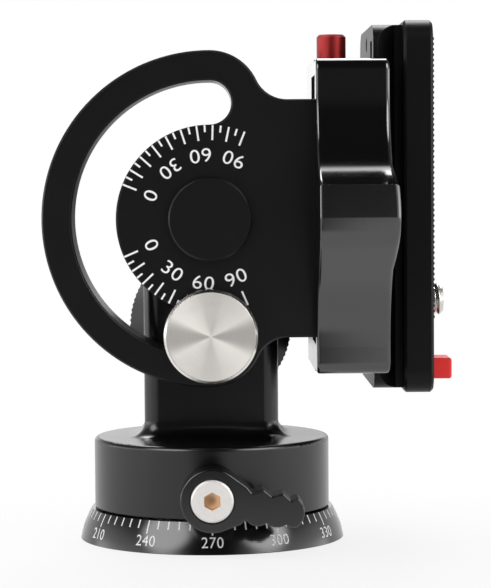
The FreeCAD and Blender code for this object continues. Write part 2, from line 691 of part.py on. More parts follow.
def boss_wave(x, far_y):
    """Return the near block's outline: the boss has a sharp upper edge and a round lower one."""
    low = CLAMP_MID_Z - CLAMP_HALF_L
    high = CLAMP_MID_Z + CLAMP_HALF_L
    corner_y = CLAMP_NEAR_Y + BLOCK_CORNER_R
    inset = BLOCK_CORNER_R * (1.0 - math.sqrt(0.5))
    round_out = BOSS_OUT - BOSS_ROUND_R
    radii = BOSS_ROUND_R + FLARE_R
    straight = (BOSS_OUT - radii * (1.0 - math.cos(BOSS_SLOPE))) / math.sin(BOSS_SLOPE)
    lower_start = radii * math.sin(BOSS_SLOPE) + straight * math.cos(BOSS_SLOPE)
    side = math.pi / 2.0

    def at(offset, out):
        return (x, CLAMP_NEAR_Y - out, CLAMP_MID_Z + offset)

    def upper(out):
        return at(FLARE_START - math.sqrt(FLARE_R ** 2 - (FLARE_R - out) ** 2), out)

    def lower(radius, centre_offset, centre_out, angle):
        return at(centre_offset + radius * math.cos(angle), centre_out + radius * math.sin(angle))

    def corner(end, inward):
        middle = (x, CLAMP_NEAR_Y + inset, end + inward * inset)
        return arc((x, corner_y, end), middle, (x, CLAMP_NEAR_Y, end + inward * BLOCK_CORNER_R))

    crest = at(0.0, BOSS_OUT)
    crown = lower(BOSS_ROUND_R, 0.0, round_out, side + BOSS_SLOPE / 2.0)
    turn = lower(BOSS_ROUND_R, 0.0, round_out, side + BOSS_SLOPE)
    bend = lower(FLARE_R, -lower_start, FLARE_R, BOSS_SLOPE - side)
    hollow = lower(FLARE_R, -lower_start, FLARE_R, BOSS_SLOPE / 2.0 - side)
    foot = at(-lower_start, 0.0)
    return [
        line((x, far_y, low), (x, far_y, high)),
        line((x, far_y, high), (x, corner_y, high)),
        corner(high, -1.0),
        line((x, CLAMP_NEAR_Y, high - BLOCK_CORNER_R), upper(0.0)),
        arc(upper(0.0), upper(BOSS_OUT / 2.0), upper(BOSS_OUT)),
        line(upper(BOSS_OUT), crest),
        arc(crest, crown, turn),
        line(turn, bend),
        arc(bend, hollow, foot),
        line(foot, (x, CLAMP_NEAR_Y, low + BLOCK_CORNER_R)),
        corner(low, 1.0),
        line((x, corner_y, low), (x, far_y, low)),
    ]


def near_block():
    """Return the near jaw wall with the middle boss, its top swelling over the boss."""
    far_y = NEAR_BLOCK_FAR_Y
    top_x = CLAMP_LIP_X + BOSS_RISE
    wall = extruded(boss_wave(CLAMP_BOTTOM_X, far_y), Vector(top_x - CLAMP_BOTTOM_X, 0, 0))
    swell = BOSS_SWELL_HALF
    low = CLAMP_MID_Z - CLAMP_HALF_L - 1.0
    high = CLAMP_MID_Z + CLAMP_HALF_L + 1.0
    y = CLAMP_NEAR_Y - BOSS_OUT - 1.0
    outline = [
        line((CLAMP_BOTTOM_X, y, low), (CLAMP_BOTTOM_X, y, high)),
        line((CLAMP_BOTTOM_X, y, high), (CLAMP_LIP_X, y, high)),
        line((CLAMP_LIP_X, y, high), (CLAMP_LIP_X, y, CLAMP_MID_Z + swell)),
        arc((CLAMP_LIP_X, y, CLAMP_MID_Z + swell), (top_x, y, CLAMP_MID_Z),
            (CLAMP_LIP_X, y, CLAMP_MID_Z - swell)),
        line((CLAMP_LIP_X, y, CLAMP_MID_Z - swell), (CLAMP_LIP_X, y, low)),
        line((CLAMP_LIP_X, y, low), (CLAMP_BOTTOM_X, y, low)),
    ]
    envelope = extruded(outline, Vector(0, CLAMP_NEAR_Y - y, 0))
    high_x = CLAMP_LIP_X + 2.0 * BOSS_RISE
    ramp_y = CLAMP_NEAR_Y - 2.0 * BOSS_RAMP_L
    ramp = [(CLAMP_LIP_X, CLAMP_NEAR_Y, low), (high_x, CLAMP_NEAR_Y, low), (high_x, ramp_y, low)]
    envelope = envelope.cut(polygon(ramp, Vector(0, 0, high - low)))
    inner = box(CLAMP_BOTTOM_X, CLAMP_LIP_X, CLAMP_NEAR_Y, 0, low, high)
    block = wall.common(fused([envelope, inner]))
    bottom = [e for e in block.Edges if e.BoundBox.XMax < CLAMP_BOTTOM_X + 0.01]
    block = block.makeFillet(EDGE_R, [e for e in bottom if e.BoundBox.YMin < far_y - 0.1])
    front_y = CLAMP_NEAR_Y + BLOCK_CORNER_R + 0.1
    top = [e for e in block.Edges if e.BoundBox.XMin > CLAMP_LIP_X - 0.01]
    return block.makeFillet(TOP_EDGE_R, [e for e in top if e.BoundBox.YMax < front_y])


def dovetail_cut(side):
    """Return the space a jaw leaves for the plate's foot, side -1 near and 1 far."""
    foot = DOVETAIL_HALF_W + JAW_GAP
    edge_x = DOVETAIL_X + DOVETAIL_EDGE_H + JAW_GAP
    top_x = CLAMP_LIP_X + 3.0
    low = CLAMP_MID_Z - CLAMP_HALF_L - 1.0
    points = [
        (CLAMP_FLOOR_X, 0, low), (CLAMP_FLOOR_X, side * foot, low), (edge_x, side * foot, low),
        (top_x, side * (foot - (top_x - edge_x)), low), (top_x, 0, low),
    ]
    return polygon(points, Vector(0, 0, 2 * CLAMP_HALF_L + 2.0))


def clamp_body():
    """Clamp floor with the fixed near jaw and every bore in it."""
    low = CLAMP_MID_Z - CLAMP_HALF_L
    high = CLAMP_MID_Z + CLAMP_HALF_L
    floor = box(CLAMP_BOTTOM_X, CLAMP_FLOOR_X, NEAR_BLOCK_FAR_Y, CLAMP_FAR_Y, low, high)
    body = fused([floor, near_block()]).cut(dovetail_cut(-1.0))
    seat = box(CLAMP_BOTTOM_X - 1, CLAMP_BOTTOM_X + NECK_SEAT_DEPTH, ARM_FRONT_Y - 0.1,
               NECK_SEAT_FAR_Y, *NECK_SEAT_Z)
    body = body.cut(seat)
    body = body.cut(clamp_mount_screws(clear_above=True)).cut(clamp_dowels())
    boss_end = CLAMP_NEAR_Y - BOSS_OUT + 3.0
    body = body.cut(rod(CLAMP_SCREW_R + RUNNING_GAP, (CLAMP_SCREW_X, boss_end, CLAMP_MID_Z), 60.0, Y_AXIS))
    body = body.cut(rod(5.0, (CLAMP_SCREW_X, CLAMP_FAR_Y - 1.6, CLAMP_MID_Z), 5.0, Y_AXIS))
    for side in (-1.0, 1.0):
        z = CLAMP_MID_Z + side * GUIDE_OFFSET
        body = body.cut(rod(GUIDE_R, (CLAMP_SCREW_X, 4.0, z), 20.0, Y_AXIS))
        body = body.cut(rod(3.3, (CLAMP_SCREW_X, CLAMP_FAR_Y - 6.0, z), 20.0, Y_AXIS))
    button_depth = CLAMP_MID_Z + CLAMP_HALF_L - BUTTON_INNER_Z
    body = body.cut(rod(BUTTON_R + RUNNING_GAP, (BUTTON_X, BUTTON_Y, BUTTON_INNER_Z), button_depth, Z_AXIS))
    body = body.cut(rod(1.5, (BUTTON_X, BUTTON_Y, SAFETY_PIN_Z), 8.0, Z_AXIS))
    pin_bore = rod(SAFETY_PIN_R + RUNNING_GAP, (SAFETY_PIN_BORE_X, BUTTON_Y, SAFETY_PIN_Z), 12.0, X_AXIS)
    return body.cut(pin_bore)


def clamp_mount_screws(clear_above=False):
    """Two socket screws from the clamp's floor into the neck."""
    mid_y = (ARM_FRONT_Y + ARM_BACK_Y) / 2.0
    screws = []
    for side in (-1.0, 1.0):
        z = PIVOT_Z + side * 10.5
        head_length = 6.0 if clear_above else 3.4
        head = rod(3.9, (26.4, mid_y, z), head_length, X_AXIS)
        shank = rod(2.3, (12.0, mid_y, z), 14.4, X_AXIS)
        screw = fused([head, shank])
        if not clear_above:
            screw = screw.cut(hex_prism(3.0, (26.4 + head_length - 2.0, mid_y, z), 2.0, X_AXIS))
        screws.append(screw)
    return group(screws)


def clamp_dowels():
    """Two dowel pins between neck and clamp."""
    mid_y = (ARM_FRONT_Y + ARM_BACK_Y) / 2.0
    return group([rod(1.25, (16.0, mid_y, PIVOT_Z + side * 17.0), 9.0, X_AXIS) for side in (-1.0, 1.0)])


def clamp_jaw():
    """Moving jaw on the far side."""
    low = CLAMP_MID_Z - CLAMP_HALF_L
    high = CLAMP_MID_Z + CLAMP_HALF_L
    jaw = box(JAW_BOTTOM_X, CLAMP_LIP_X, CLAMP_FAR_Y + 0.4, JAW_OUT_Y, low, high)
    corners = []
    for edge in jaw.Edges:
        bounds = edge.BoundBox
        if bounds.YMin > JAW_OUT_Y - 0.01 and bounds.ZMax - bounds.ZMin < 0.01:
            corners.append(edge)
    jaw = jaw.makeFillet(3.5, corners).cut(dovetail_cut(1.0))
    for side in (-1.0, 1.0):
        z = CLAMP_MID_Z + side * GUIDE_OFFSET
        jaw = jaw.cut(rod(GUIDE_R + RUNNING_GAP, (CLAMP_SCREW_X, 0, z), 20.6, Y_AXIS))
    return jaw.cut(rod(CLAMP_SCREW_R + RUNNING_GAP, (CLAMP_SCREW_X, 0, CLAMP_MID_Z), 60.0, Y_AXIS))


def jaw_guide_pins():
    """Two pins fixed in the clamp body on which the jaw slides."""
    pins = []
    for side in (-1.0, 1.0):
        z = CLAMP_MID_Z + side * GUIDE_OFFSET
        pins.append(rod(GUIDE_R, (CLAMP_SCREW_X, 4.0, z), 16.2, Y_AXIS))
    return group(pins)


def jaw_springs():
    """Two springs round the guide pins that push the jaw open, drawn compressed."""
    springs = []
    for side in (-1.0, 1.0):
        start = (CLAMP_SCREW_X, CLAMP_FAR_Y - 5.6, CLAMP_MID_Z + side * GUIDE_OFFSET)
        springs.append(coil(2.65, 0.3, 5, 5.4, start, Y_AXIS))
    return group(springs)


def clamp_screw():
    """Long screw from the knob through jaw and clamp into the boss."""
    start = CLAMP_NEAR_Y - BOSS_OUT + 6.0
    end = JAW_OUT_Y + 1.2 + CLAMP_KNOB_H - 2.0
    return rod(CLAMP_SCREW_R, (CLAMP_SCREW_X, start, CLAMP_MID_Z), end - start, Y_AXIS)


def clamp_knob():
    """Round knob with shallow finger scallops on the far side."""
    start = (CLAMP_SCREW_X, JAW_OUT_Y + 1.2, CLAMP_MID_Z)
    knob = rod(CLAMP_KNOB_R, start, CLAMP_KNOB_H, Y_AXIS)
    rims = [e for e in knob.Edges if e.BoundBox.YMax - e.BoundBox.YMin < 0.01]
    knob = knob.makeFillet(1.2, rims)
    for index in range(CLAMP_KNOB_LOBES):
        angle = 2.0 * math.pi * (index + 0.5) / CLAMP_KNOB_LOBES
        reach = CLAMP_KNOB_R + 1.9
        spot = (start[0] + reach * math.cos(angle), start[1] + 1.6, start[2] + reach * math.sin(angle))
        knob = knob.cut(rod(2.6, spot, CLAMP_KNOB_H, Y_AXIS))
    hole = rod(CLAMP_SCREW_R, start, CLAMP_KNOB_H - 2.0, Y_AXIS)
    dish = rod(8.0, (start[0], start[1] + CLAMP_KNOB_H - 0.4, start[2]), 1.0, Y_AXIS)
    return knob.cut(hole).cut(dish)


def clamp_knob_washer():
    """Washer between knob and jaw."""
    start = (CLAMP_SCREW_X, JAW_OUT_Y + 0.1, CLAMP_MID_Z)
    return tube(7.0, CLAMP_SCREW_R, start, 1.1, Y_AXIS)


def screw_clip():
    """Clip on the clamp screw that takes the jaw along."""
    clip = tube(4.5, CLAMP_SCREW_R, (CLAMP_SCREW_X, CLAMP_FAR_Y - 0.6, CLAMP_MID_Z), 0.8, Y_AXIS)
    mouth = box(CLAMP_SCREW_X - 1.5, CLAMP_SCREW_X + 1.5, CLAMP_FAR_Y - 1, CLAMP_FAR_Y + 1,
                CLAMP_MID_Z - 6.0, CLAMP_MID_Z)
    return clip.cut(mouth)


def release_button():
    """Red button whose cone tip draws the safety pin down when pressed."""
    foot_z = BUTTON_INNER_Z + 2.6
    head = rod(BUTTON_R, (BUTTON_X, BUTTON_Y, foot_z), BUTTON_TOP_Z - foot_z, Z_AXIS)
    rim = [e for e in head.Edges if e.BoundBox.ZMin > BUTTON_TOP_Z - 0.01]
    head = head.makeChamfer(0.45, rim)
    tip_z = SAFETY_PIN_Z + 2.1
    stem_r = 1.4
    stem = rod(stem_r, (BUTTON_X, BUTTON_Y, tip_z + stem_r), foot_z - tip_z - stem_r, Z_AXIS)
    tip = cone(0.0, stem_r, (BUTTON_X, BUTTON_Y, tip_z), stem_r, Z_AXIS)
    return fused([head, stem, tip])


def button_spring():
    """Spring that returns the release button."""
    start = (BUTTON_X, BUTTON_Y, BUTTON_INNER_Z + 0.25)
    return coil(2.15, 0.22, 4, 2.1, start, Z_AXIS)


def safety_pin():
    """Pin that stands in the plate's groove, with a V notch for the button's cone."""
    bottom_x = BUTTON_X - 0.3
    pin = rod(SAFETY_PIN_R, (bottom_x, BUTTON_Y, SAFETY_PIN_Z), SAFETY_PIN_TOP_X - bottom_x, X_AXIS)
    notch_x = BUTTON_X + BUTTON_TRAVEL
    deep = SAFETY_PIN_Z + SAFETY_PIN_R - 1.4
    high = SAFETY_PIN_Z + SAFETY_PIN_R + 1.0
    half = high - deep
    y = BUTTON_Y - 3.0
    points = [(notch_x, y, deep), (notch_x + half, y, high), (notch_x - half, y, high)]
    return pin.cut(polygon(points, Vector(0, 6, 0)))


def pin_spring():
    """Small spring under the safety pin, drawn compressed."""
    start_x = SAFETY_PIN_BORE_X + PIN_WIRE_R + RUNNING_GAP
    return coil(1.2, PIN_WIRE_R, 2, 0.56, (start_x, BUTTON_Y, SAFETY_PIN_Z), X_AXIS)


def plate_blank():
    """Return the dovetail foot and the flange of the camera plate."""
    top_z = PLATE_BOTTOM_Z + PLATE_L
    flange = box(FLANGE_X, PLATE_TOP_X, -PLATE_HALF_W, PLATE_HALF_W, PLATE_BOTTOM_Z, top_z)
    corners = [e for e in flange.Edges if e.BoundBox.XMax - e.BoundBox.XMin > 1.0]
    flange = flange.makeFillet(PLATE_CORNER_R, corners)
    rims = [e for e in flange.Edges if e.BoundBox.XMax - e.BoundBox.XMin < 0.01]
    flange = flange.makeChamfer(0.5, rims)
    edge_x = DOVETAIL_X + DOVETAIL_EDGE_H
    neck_x = edge_x + DOVETAIL_SLOPE_H
    neck_y = DOVETAIL_HALF_W - DOVETAIL_SLOPE_H
    low = PLATE_BOTTOM_Z + DOVETAIL_INSET
    section = [
        (DOVETAIL_X, -DOVETAIL_HALF_W, low), (edge_x, -DOVETAIL_HALF_W, low), (neck_x, -neck_y, low),
        (FLANGE_X, -neck_y, low), (FLANGE_X, neck_y, low), (neck_x, neck_y, low),
        (edge_x, DOVETAIL_HALF_W, low), (DOVETAIL_X, DOVETAIL_HALF_W, low),
    ]
    foot = polygon(section, Vector(0, 0, PLATE_L - 2 * DOVETAIL_INSET))
    rounding = box(DOVETAIL_X - 1, FLANGE_X, -DOVETAIL_HALF_W, DOVETAIL_HALF_W, low,
                   top_z - DOVETAIL_INSET)
    ends = [e for e in rounding.Edges if e.BoundBox.XMax - e.BoundBox.XMin > 1.0]
    foot = foot.common(rounding.makeFillet(PLATE_CORNER_R, ends))
    return fused([flange, foot])


def camera_plate():
    """Dovetail plate with screw slot, underside pocket, safety groove and tab recess."""
    plate = plate_blank()
    pocket = box(DOVETAIL_X - 1, POCKET_X, -POCKET_HALF_W, POCKET_HALF_W, SCREW_Z - 8.0,
                 SCREW_Z + SLOT_TRAVEL + 8.0)
    edges = [e for e in pocket.Edges if e.BoundBox.XMax - e.BoundBox.XMin > 1.0]
    plate = plate.cut(pocket.makeFillet(3.0, edges))
    plate = plate.cut(long_hole(SCREW_R + 0.3, POCKET_X - 1, PLATE_TOP_X + 1))
    pad_bed = box(PLATE_TOP_X - PAD_SUNK, PLATE_TOP_X + 1, -PAD_HALF_W, PAD_HALF_W, PAD_LOW_Z, PAD_HIGH_Z)
    plate = plate.cut(pad_bed)
    groove = box(DOVETAIL_X - 1, DOVETAIL_X + 2.2, BUTTON_Y - 2.2, BUTTON_Y + 2.2, SAFETY_PIN_Z - 35.5,
                 SAFETY_PIN_Z + 12.5)
    plate = plate.cut(groove)
    recess = box(TAB_PIN_X - TAB_HALF_T - 0.3, PLATE_TOP_X + 1, -TAB_HALF_W - 0.3, TAB_HALF_W + 0.3,
                 TAB_PIN_Z - TAB_HALF_T - 0.3, TAB_PIN_Z + TAB_TIP_X - TAB_PIN_X + 0.3)
    plate = plate.cut(recess).cut(tab_pin())
    for screw in stop_screw_bodies():
        mouth = rod(STOP_SCREW_R, (DOVETAIL_X - 1, 0, screw.BoundBox.Center.z), 2.0, X_AXIS)
        plate = plate.cut(screw).cut(mouth)
    return plate


def long_hole(radius, x0, x1):
    """Return a slot cut along Z over the camera screw's travel."""
    ends = [rod(radius, (x0, 0, SCREW_Z + shift), x1 - x0, X_AXIS) for shift in (0.0, SLOT_TRAVEL)]
    middle = box(x0, x1, -radius, radius, SCREW_Z, SCREW_Z + SLOT_TRAVEL)
    return fused([ends[0], middle, ends[1]])


def rubber_pad():
    """Ribbed pad in the plate's top, open round the screw slot."""
    ribs = int((PAD_HIGH_Z - PAD_LOW_Z) / PAD_RIB_PITCH)
    pitch = (PAD_HIGH_Z - PAD_LOW_Z) / ribs
    bed_x = PLATE_TOP_X - PAD_SUNK
    valley_x = PLATE_TOP_X + PAD_VALLEY
    peak_x = PLATE_TOP_X + PAD_PROUD
    points = [(bed_x, -PAD_HALF_W, PAD_HIGH_Z), (bed_x, -PAD_HALF_W, PAD_LOW_Z)]
    for index in range(ribs):
        z = PAD_LOW_Z + index * pitch
        points.append((valley_x, -PAD_HALF_W, z + 0.15 * pitch if index else z))
        points.append((peak_x, -PAD_HALF_W, z + 0.35 * pitch))
        points.append((peak_x, -PAD_HALF_W, z + 0.65 * pitch))
        points.append((valley_x, -PAD_HALF_W, z + 0.85 * pitch))
    points.append((valley_x, -PAD_HALF_W, PAD_HIGH_Z))
    pad = polygon(points, Vector(0, 2 * PAD_HALF_W, 0))
    return pad.cut(long_hole(SCREW_R + 1.0, bed_x - 1, peak_x + 1))


def stop_screw_bodies():
    """Return the two stop screws' full shanks."""
    heights = (PLATE_BOTTOM_Z + STOP_SCREW_INSET, PLATE_BOTTOM_Z + PLATE_L - STOP_SCREW_INSET)
    start = DOVETAIL_X + STOP_SCREW_SUNK
    return [rod(STOP_SCREW_R, (start, 0, z), 3.4, X_AXIS) for z in heights]


def plate_stop_screws():
    """Two small screws sunk in the plate's underside, near its ends."""
    screws = []
    for body in stop_screw_bodies():
        centre = body.BoundBox.Center
        screws.append(body.cut(rod(0.75, (DOVETAIL_X, 0, centre.z), 1.7, X_AXIS)))
    return group(screws)


def screw_retainer():
    """Square keeper that slides in the pocket and holds the camera screw."""
    keeper = box(POCKET_X - 0.85, POCKET_X - 0.05, -POCKET_HALF_W + 0.15, POCKET_HALF_W - 0.15,
                 SCREW_Z - 7.0, SCREW_Z + 7.0)
    edges = [e for e in keeper.Edges if e.BoundBox.XMax - e.BoundBox.XMin > 0.5]
    keeper = keeper.makeFillet(3.0, edges)
    return keeper.cut(rod(SCREW_NECK_R + RUNNING_GAP, (POCKET_X - 2, 0, SCREW_Z), 4.0, X_AXIS))


def camera_screw():
    """Camera screw with a slotted head below and a chamfered tip above the plate."""
    head_top = POCKET_X - 0.9
    head_x = DOVETAIL_X + 0.35
    head = rod(SCREW_HEAD_R, (head_x, 0, SCREW_Z), head_top - head_x, X_AXIS)
    rims = [e for e in head.Edges if e.BoundBox.XMax < head_x + 0.01]
    head = head.makeChamfer(0.4, rims)
    chamfer = SCREW_R - SCREW_TIP_R
    thread_end = SCREW_TIP_X - chamfer
    neck = rod(SCREW_NECK_R, (head_top, 0, SCREW_Z), SCREW_THREAD_X - head_top, X_AXIS)
    thread = rod(SCREW_R, (SCREW_THREAD_X, 0, SCREW_Z), thread_end - SCREW_THREAD_X, X_AXIS)
    tip = cone(SCREW_R, SCREW_TIP_R, (thread_end, 0, SCREW_Z), chamfer, X_AXIS)
    slot = box(head_x - 1, head_x + 1.3, -7, 7, SCREW_Z - 0.7, SCREW_Z + 0.7)
    return fused([head, neck, thread, tip]).cut(slot)


def stop_tab():
    """Red stop that flips up from the plate's lower end."""
    barrel = rod(TAB_HALF_T, (TAB_PIN_X, -TAB_HALF_W, TAB_PIN_Z), 2 * TAB_HALF_W, Y_AXIS)
    blade = box(TAB_PIN_X, TAB_TIP_X, -TAB_HALF_W, TAB_HALF_W, TAB_PIN_Z - TAB_HALF_T,
                TAB_PIN_Z + TAB_HALF_T)
    rims = [e for e in blade.Edges if e.BoundBox.XMin > TAB_TIP_X - 0.01]
    blade = blade.makeFillet(0.6, rims)
    return fused([barrel, blade]).cut(rod(1.0 + RUNNING_GAP, (TAB_PIN_X, -9, TAB_PIN_Z), 18.0, Y_AXIS))


def tab_pin():
    """Hinge pin of the stop tab."""
    return rod(1.0, (TAB_PIN_X, -TAB_HALF_W - 4.0, TAB_PIN_Z), 2 * TAB_HALF_W + 8.0, Y_AXIS)


PIECES = [
    base_dial, pan_spindle, dial_screws, thrust_washer, stem_housing, retaining_screws, lever_washer,
    pan_lock_lever, lever_screw, pan_brake_shoe, pivot_bolt, pivot_spring_washer, pivot_nut,
    tilt_friction_washer, tilt_plate, pivot_bushing, pivot_cap, tilt_clamp_bolt, slot_washer,
    slot_bushing, tilt_lock_knob, knob_insert, knob_end_cap, clamp_body, clamp_mount_screws,
    clamp_dowels, clamp_jaw, jaw_guide_pins, jaw_springs, clamp_screw, clamp_knob, clamp_knob_washer,
    screw_clip, release_button, button_spring, safety_pin, pin_spring, camera_plate, rubber_pad,
    plate_stop_screws, screw_retainer, camera_screw, stop_tab, tab_pin,
]


def main():
    """Write every piece to its own file."""
    os.makedirs("parts", exist_ok=True)
    for piece in PIECES:
        shape = piece()
        solids = shape.Solids
        print(piece.__name__, len(solids), "solid(s)", round(shape.Volume, 1), "mm3", shape.isValid())
        if len(solids) == 1:
            shape = solids[0]
        shape.exportStep(f"parts/{piece.__name__}.step")


if __name__ == "__main__":
    main()
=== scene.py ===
"""Studio scene of a two-way tilt head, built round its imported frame.

Lengths are metres in the frame's own axes: +Z runs up the pan axis, +X points to the camera plate
and +Y points away from the dial side. Finishes measure their grain in millimetres.
"""
import logging
import math
import random
from collections.abc import Callable, Sequence
from dataclasses import dataclass, field
from enum import Enum
from functools import partial
from typing import ClassVar

import bmesh
import bpy
from mathutils import Matrix, Vector


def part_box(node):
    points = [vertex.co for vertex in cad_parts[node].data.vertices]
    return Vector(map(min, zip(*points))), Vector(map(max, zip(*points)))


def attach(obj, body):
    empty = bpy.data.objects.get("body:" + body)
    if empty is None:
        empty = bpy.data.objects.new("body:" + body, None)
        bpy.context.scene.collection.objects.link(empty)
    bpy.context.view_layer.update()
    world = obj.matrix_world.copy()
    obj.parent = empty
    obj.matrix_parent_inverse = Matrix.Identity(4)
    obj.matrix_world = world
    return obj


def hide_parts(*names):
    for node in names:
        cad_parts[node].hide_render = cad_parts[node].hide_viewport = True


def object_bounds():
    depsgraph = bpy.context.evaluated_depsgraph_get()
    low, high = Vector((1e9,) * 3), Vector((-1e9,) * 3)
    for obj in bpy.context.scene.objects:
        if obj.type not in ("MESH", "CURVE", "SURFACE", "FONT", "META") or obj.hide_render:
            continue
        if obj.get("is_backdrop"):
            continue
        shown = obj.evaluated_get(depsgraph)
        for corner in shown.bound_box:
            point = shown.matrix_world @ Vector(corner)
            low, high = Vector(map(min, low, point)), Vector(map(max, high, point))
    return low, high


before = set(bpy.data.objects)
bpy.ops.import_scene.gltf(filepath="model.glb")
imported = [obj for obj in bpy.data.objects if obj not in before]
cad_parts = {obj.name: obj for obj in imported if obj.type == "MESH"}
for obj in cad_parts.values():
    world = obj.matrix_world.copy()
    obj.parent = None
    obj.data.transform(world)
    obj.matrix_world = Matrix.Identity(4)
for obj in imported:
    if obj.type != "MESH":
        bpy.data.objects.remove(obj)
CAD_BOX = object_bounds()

MM = 0.001
FULL_TURN = 2.0 * math.pi
Colour = tuple[float, float, float]
Point = tuple[float, float, float]
Band = tuple[float, float]
Place = Callable[[float, float, float], Vector]
Row = list[bmesh.types.BMVert]
log = logging.getLogger("tilt_head")


class Axis(Enum):
    """Axis of a turned piece, as the index of its coordinate."""

    X = 0
    Y = 1
    Z = 2


class Signal:
    """Socket whose value varies over a surface; arithmetic on it adds Math nodes."""

    def __init__(self, graph: "Graph", socket: bpy.types.NodeSocket | None) -> None:
        """Wrap a socket.

        Args:
            graph: The graph that holds the socket.
            socket: An output socket, or None for a node that has none.
        """
        self.graph = graph
        self.socket = socket

    def _math(self, operation: str, *values: "Signal | float") -> "Signal":
        """Add a Math node.

        Args:
            operation: The node's operation.
            values: Its operands in order.

        Returns:
            The node's result.
        """
        return self.graph.node("ShaderNodeMath", {"operation": operation}, dict(enumerate(values)))

    def __neg__(self) -> "Signal":
        """Return -self."""
        return self._math("SUBTRACT", 0.0, self)

    def __add__(self, other: "Signal | float") -> "Signal":
        """Return self + other."""
        return self._math("ADD", self, other)

    def __radd__(self, other: float) -> "Signal":
        """Return other + self."""
        return self._math("ADD", other, self)

    def __sub__(self, other: "Signal | float") -> "Signal":
        """Return self - other."""
        return self._math("SUBTRACT", self, other)

    def __rsub__(self, other: float) -> "Signal":
        """Return other - self."""
        return self._math("SUBTRACT", other, self)

    def __mul__(self, other: "Signal | float") -> "Signal":
        """Return self * other."""
        return self._math("MULTIPLY", self, other)

    def __rmul__(self, other: float) -> "Signal":
        """Return other * self."""
        return self._math("MULTIPLY", other, self)

    def __truediv__(self, other: "Signal | float") -> "Signal":
        """Return self / other."""
        return self._math("DIVIDE", self, other)

    def __rtruediv__(self, other: float) -> "Signal":
        """Return other / self."""
        return self._math("DIVIDE", other, self)

    def root(self) -> "Signal":
        """Return the square root of self."""
        return self._math("POWER", self, 0.5)

    def sine(self) -> "Signal":
        """Return the sine of self, in radians."""
        return self._math("SINE", self)

    def larger(self, other: "Signal | float") -> "Signal":
        """Return the larger of self and other."""
        return self._math("MAXIMUM", self, other)

    def size(self) -> "Signal":
        """Return self without its sign."""
        return self._math("ABSOLUTE", self)

    def ramp(self, low: float, high: float) -> "Signal":
        """Rise smoothly from 0 to 1 between two values.

        Args:
            low: The value that gives 0.
            high: The value that gives 1.

        Returns:
            The smoothed step.
        """
        settings = {"interpolation_type": "SMOOTHSTEP"}
        return self.graph.node("ShaderNodeMapRange", settings, {0: self, 1: low, 2: high})


class Graph:
    """Node tree that shader expressions are written into."""

    noise_roughness: ClassVar[float] = 0.55

    def __init__(self, tree: bpy.types.NodeTree) -> None:
        """Empty the tree and keep it.

        Args:
            tree: The node tree of a material or world.
        """
        tree.nodes.clear()
        self.tree = tree

    def node(self, kind: str, settings: dict[str, object] | None = None,
             inputs: dict[int | str, object] | None = None, out: int | str = 0) -> Signal:
        """Add one node.

        Args:
            kind: The node's type.
            settings: Properties, set before the sockets.
            inputs: Socket names or numbers, with numbers, colours or signals.
            out: The output that is returned.

        Returns:
            The chosen output.
        """
        made = self.tree.nodes.new(kind)
        for name, value in (settings or {}).items():
            setattr(made, name, value)
        for key, value in (inputs or {}).items():
            socket = made.inputs[key]
            if isinstance(value, Signal):
                self.tree.links.new(value.socket, socket)
            else:
                socket.default_value = value
        outputs = made.outputs
        return Signal(self, outputs[out] if len(outputs) else None)

    def point(self) -> Signal:
        """Return the surface point in millimetres, in the piece's own axes."""
        spot = self.node("ShaderNodeTexCoord", out="Object")
        return self.node("ShaderNodeVectorMath", {"operation": "SCALE"}, {0: spot, "Scale": 1.0 / MM})

    def noise(self, point: Signal, per_mm: float, detail: float = 2.0) -> Signal:
        """Return smooth noise between about 0 and 1.

        Args:
            point: The place in millimetres.
            per_mm: Lumps in a millimetre.
            detail: Octaves above the first.

        Returns:
            The noise.
        """
        inputs = {"Vector": point, "Scale": per_mm, "Detail": detail, "Roughness": self.noise_roughness}
        return self.node("ShaderNodeTexNoise", None, inputs)

    def blend(self, factor: Signal, first: Signal | Colour, second: Signal | Colour) -> Signal:
        """Mix two colours.

        Args:
            factor: 0 for the first colour and 1 for the second.
            first: A colour.
            second: A colour.

        Returns:
            The mixed colour.
        """
        first = first if isinstance(first, Signal) else (*first, 1.0)
        second = second if isinstance(second, Signal) else (*second, 1.0)
        return self.node("ShaderNodeMix", {"data_type": "RGBA"}, {0: factor, 6: first, 7: second}, 2)

    def split(self, vector: Signal) -> list[Signal]:
        """Return the three parts of a vector."""
        parts = self.node("ShaderNodeSeparateXYZ", None, {0: vector}).socket.node.outputs
        return [Signal(self, part) for part in parts]


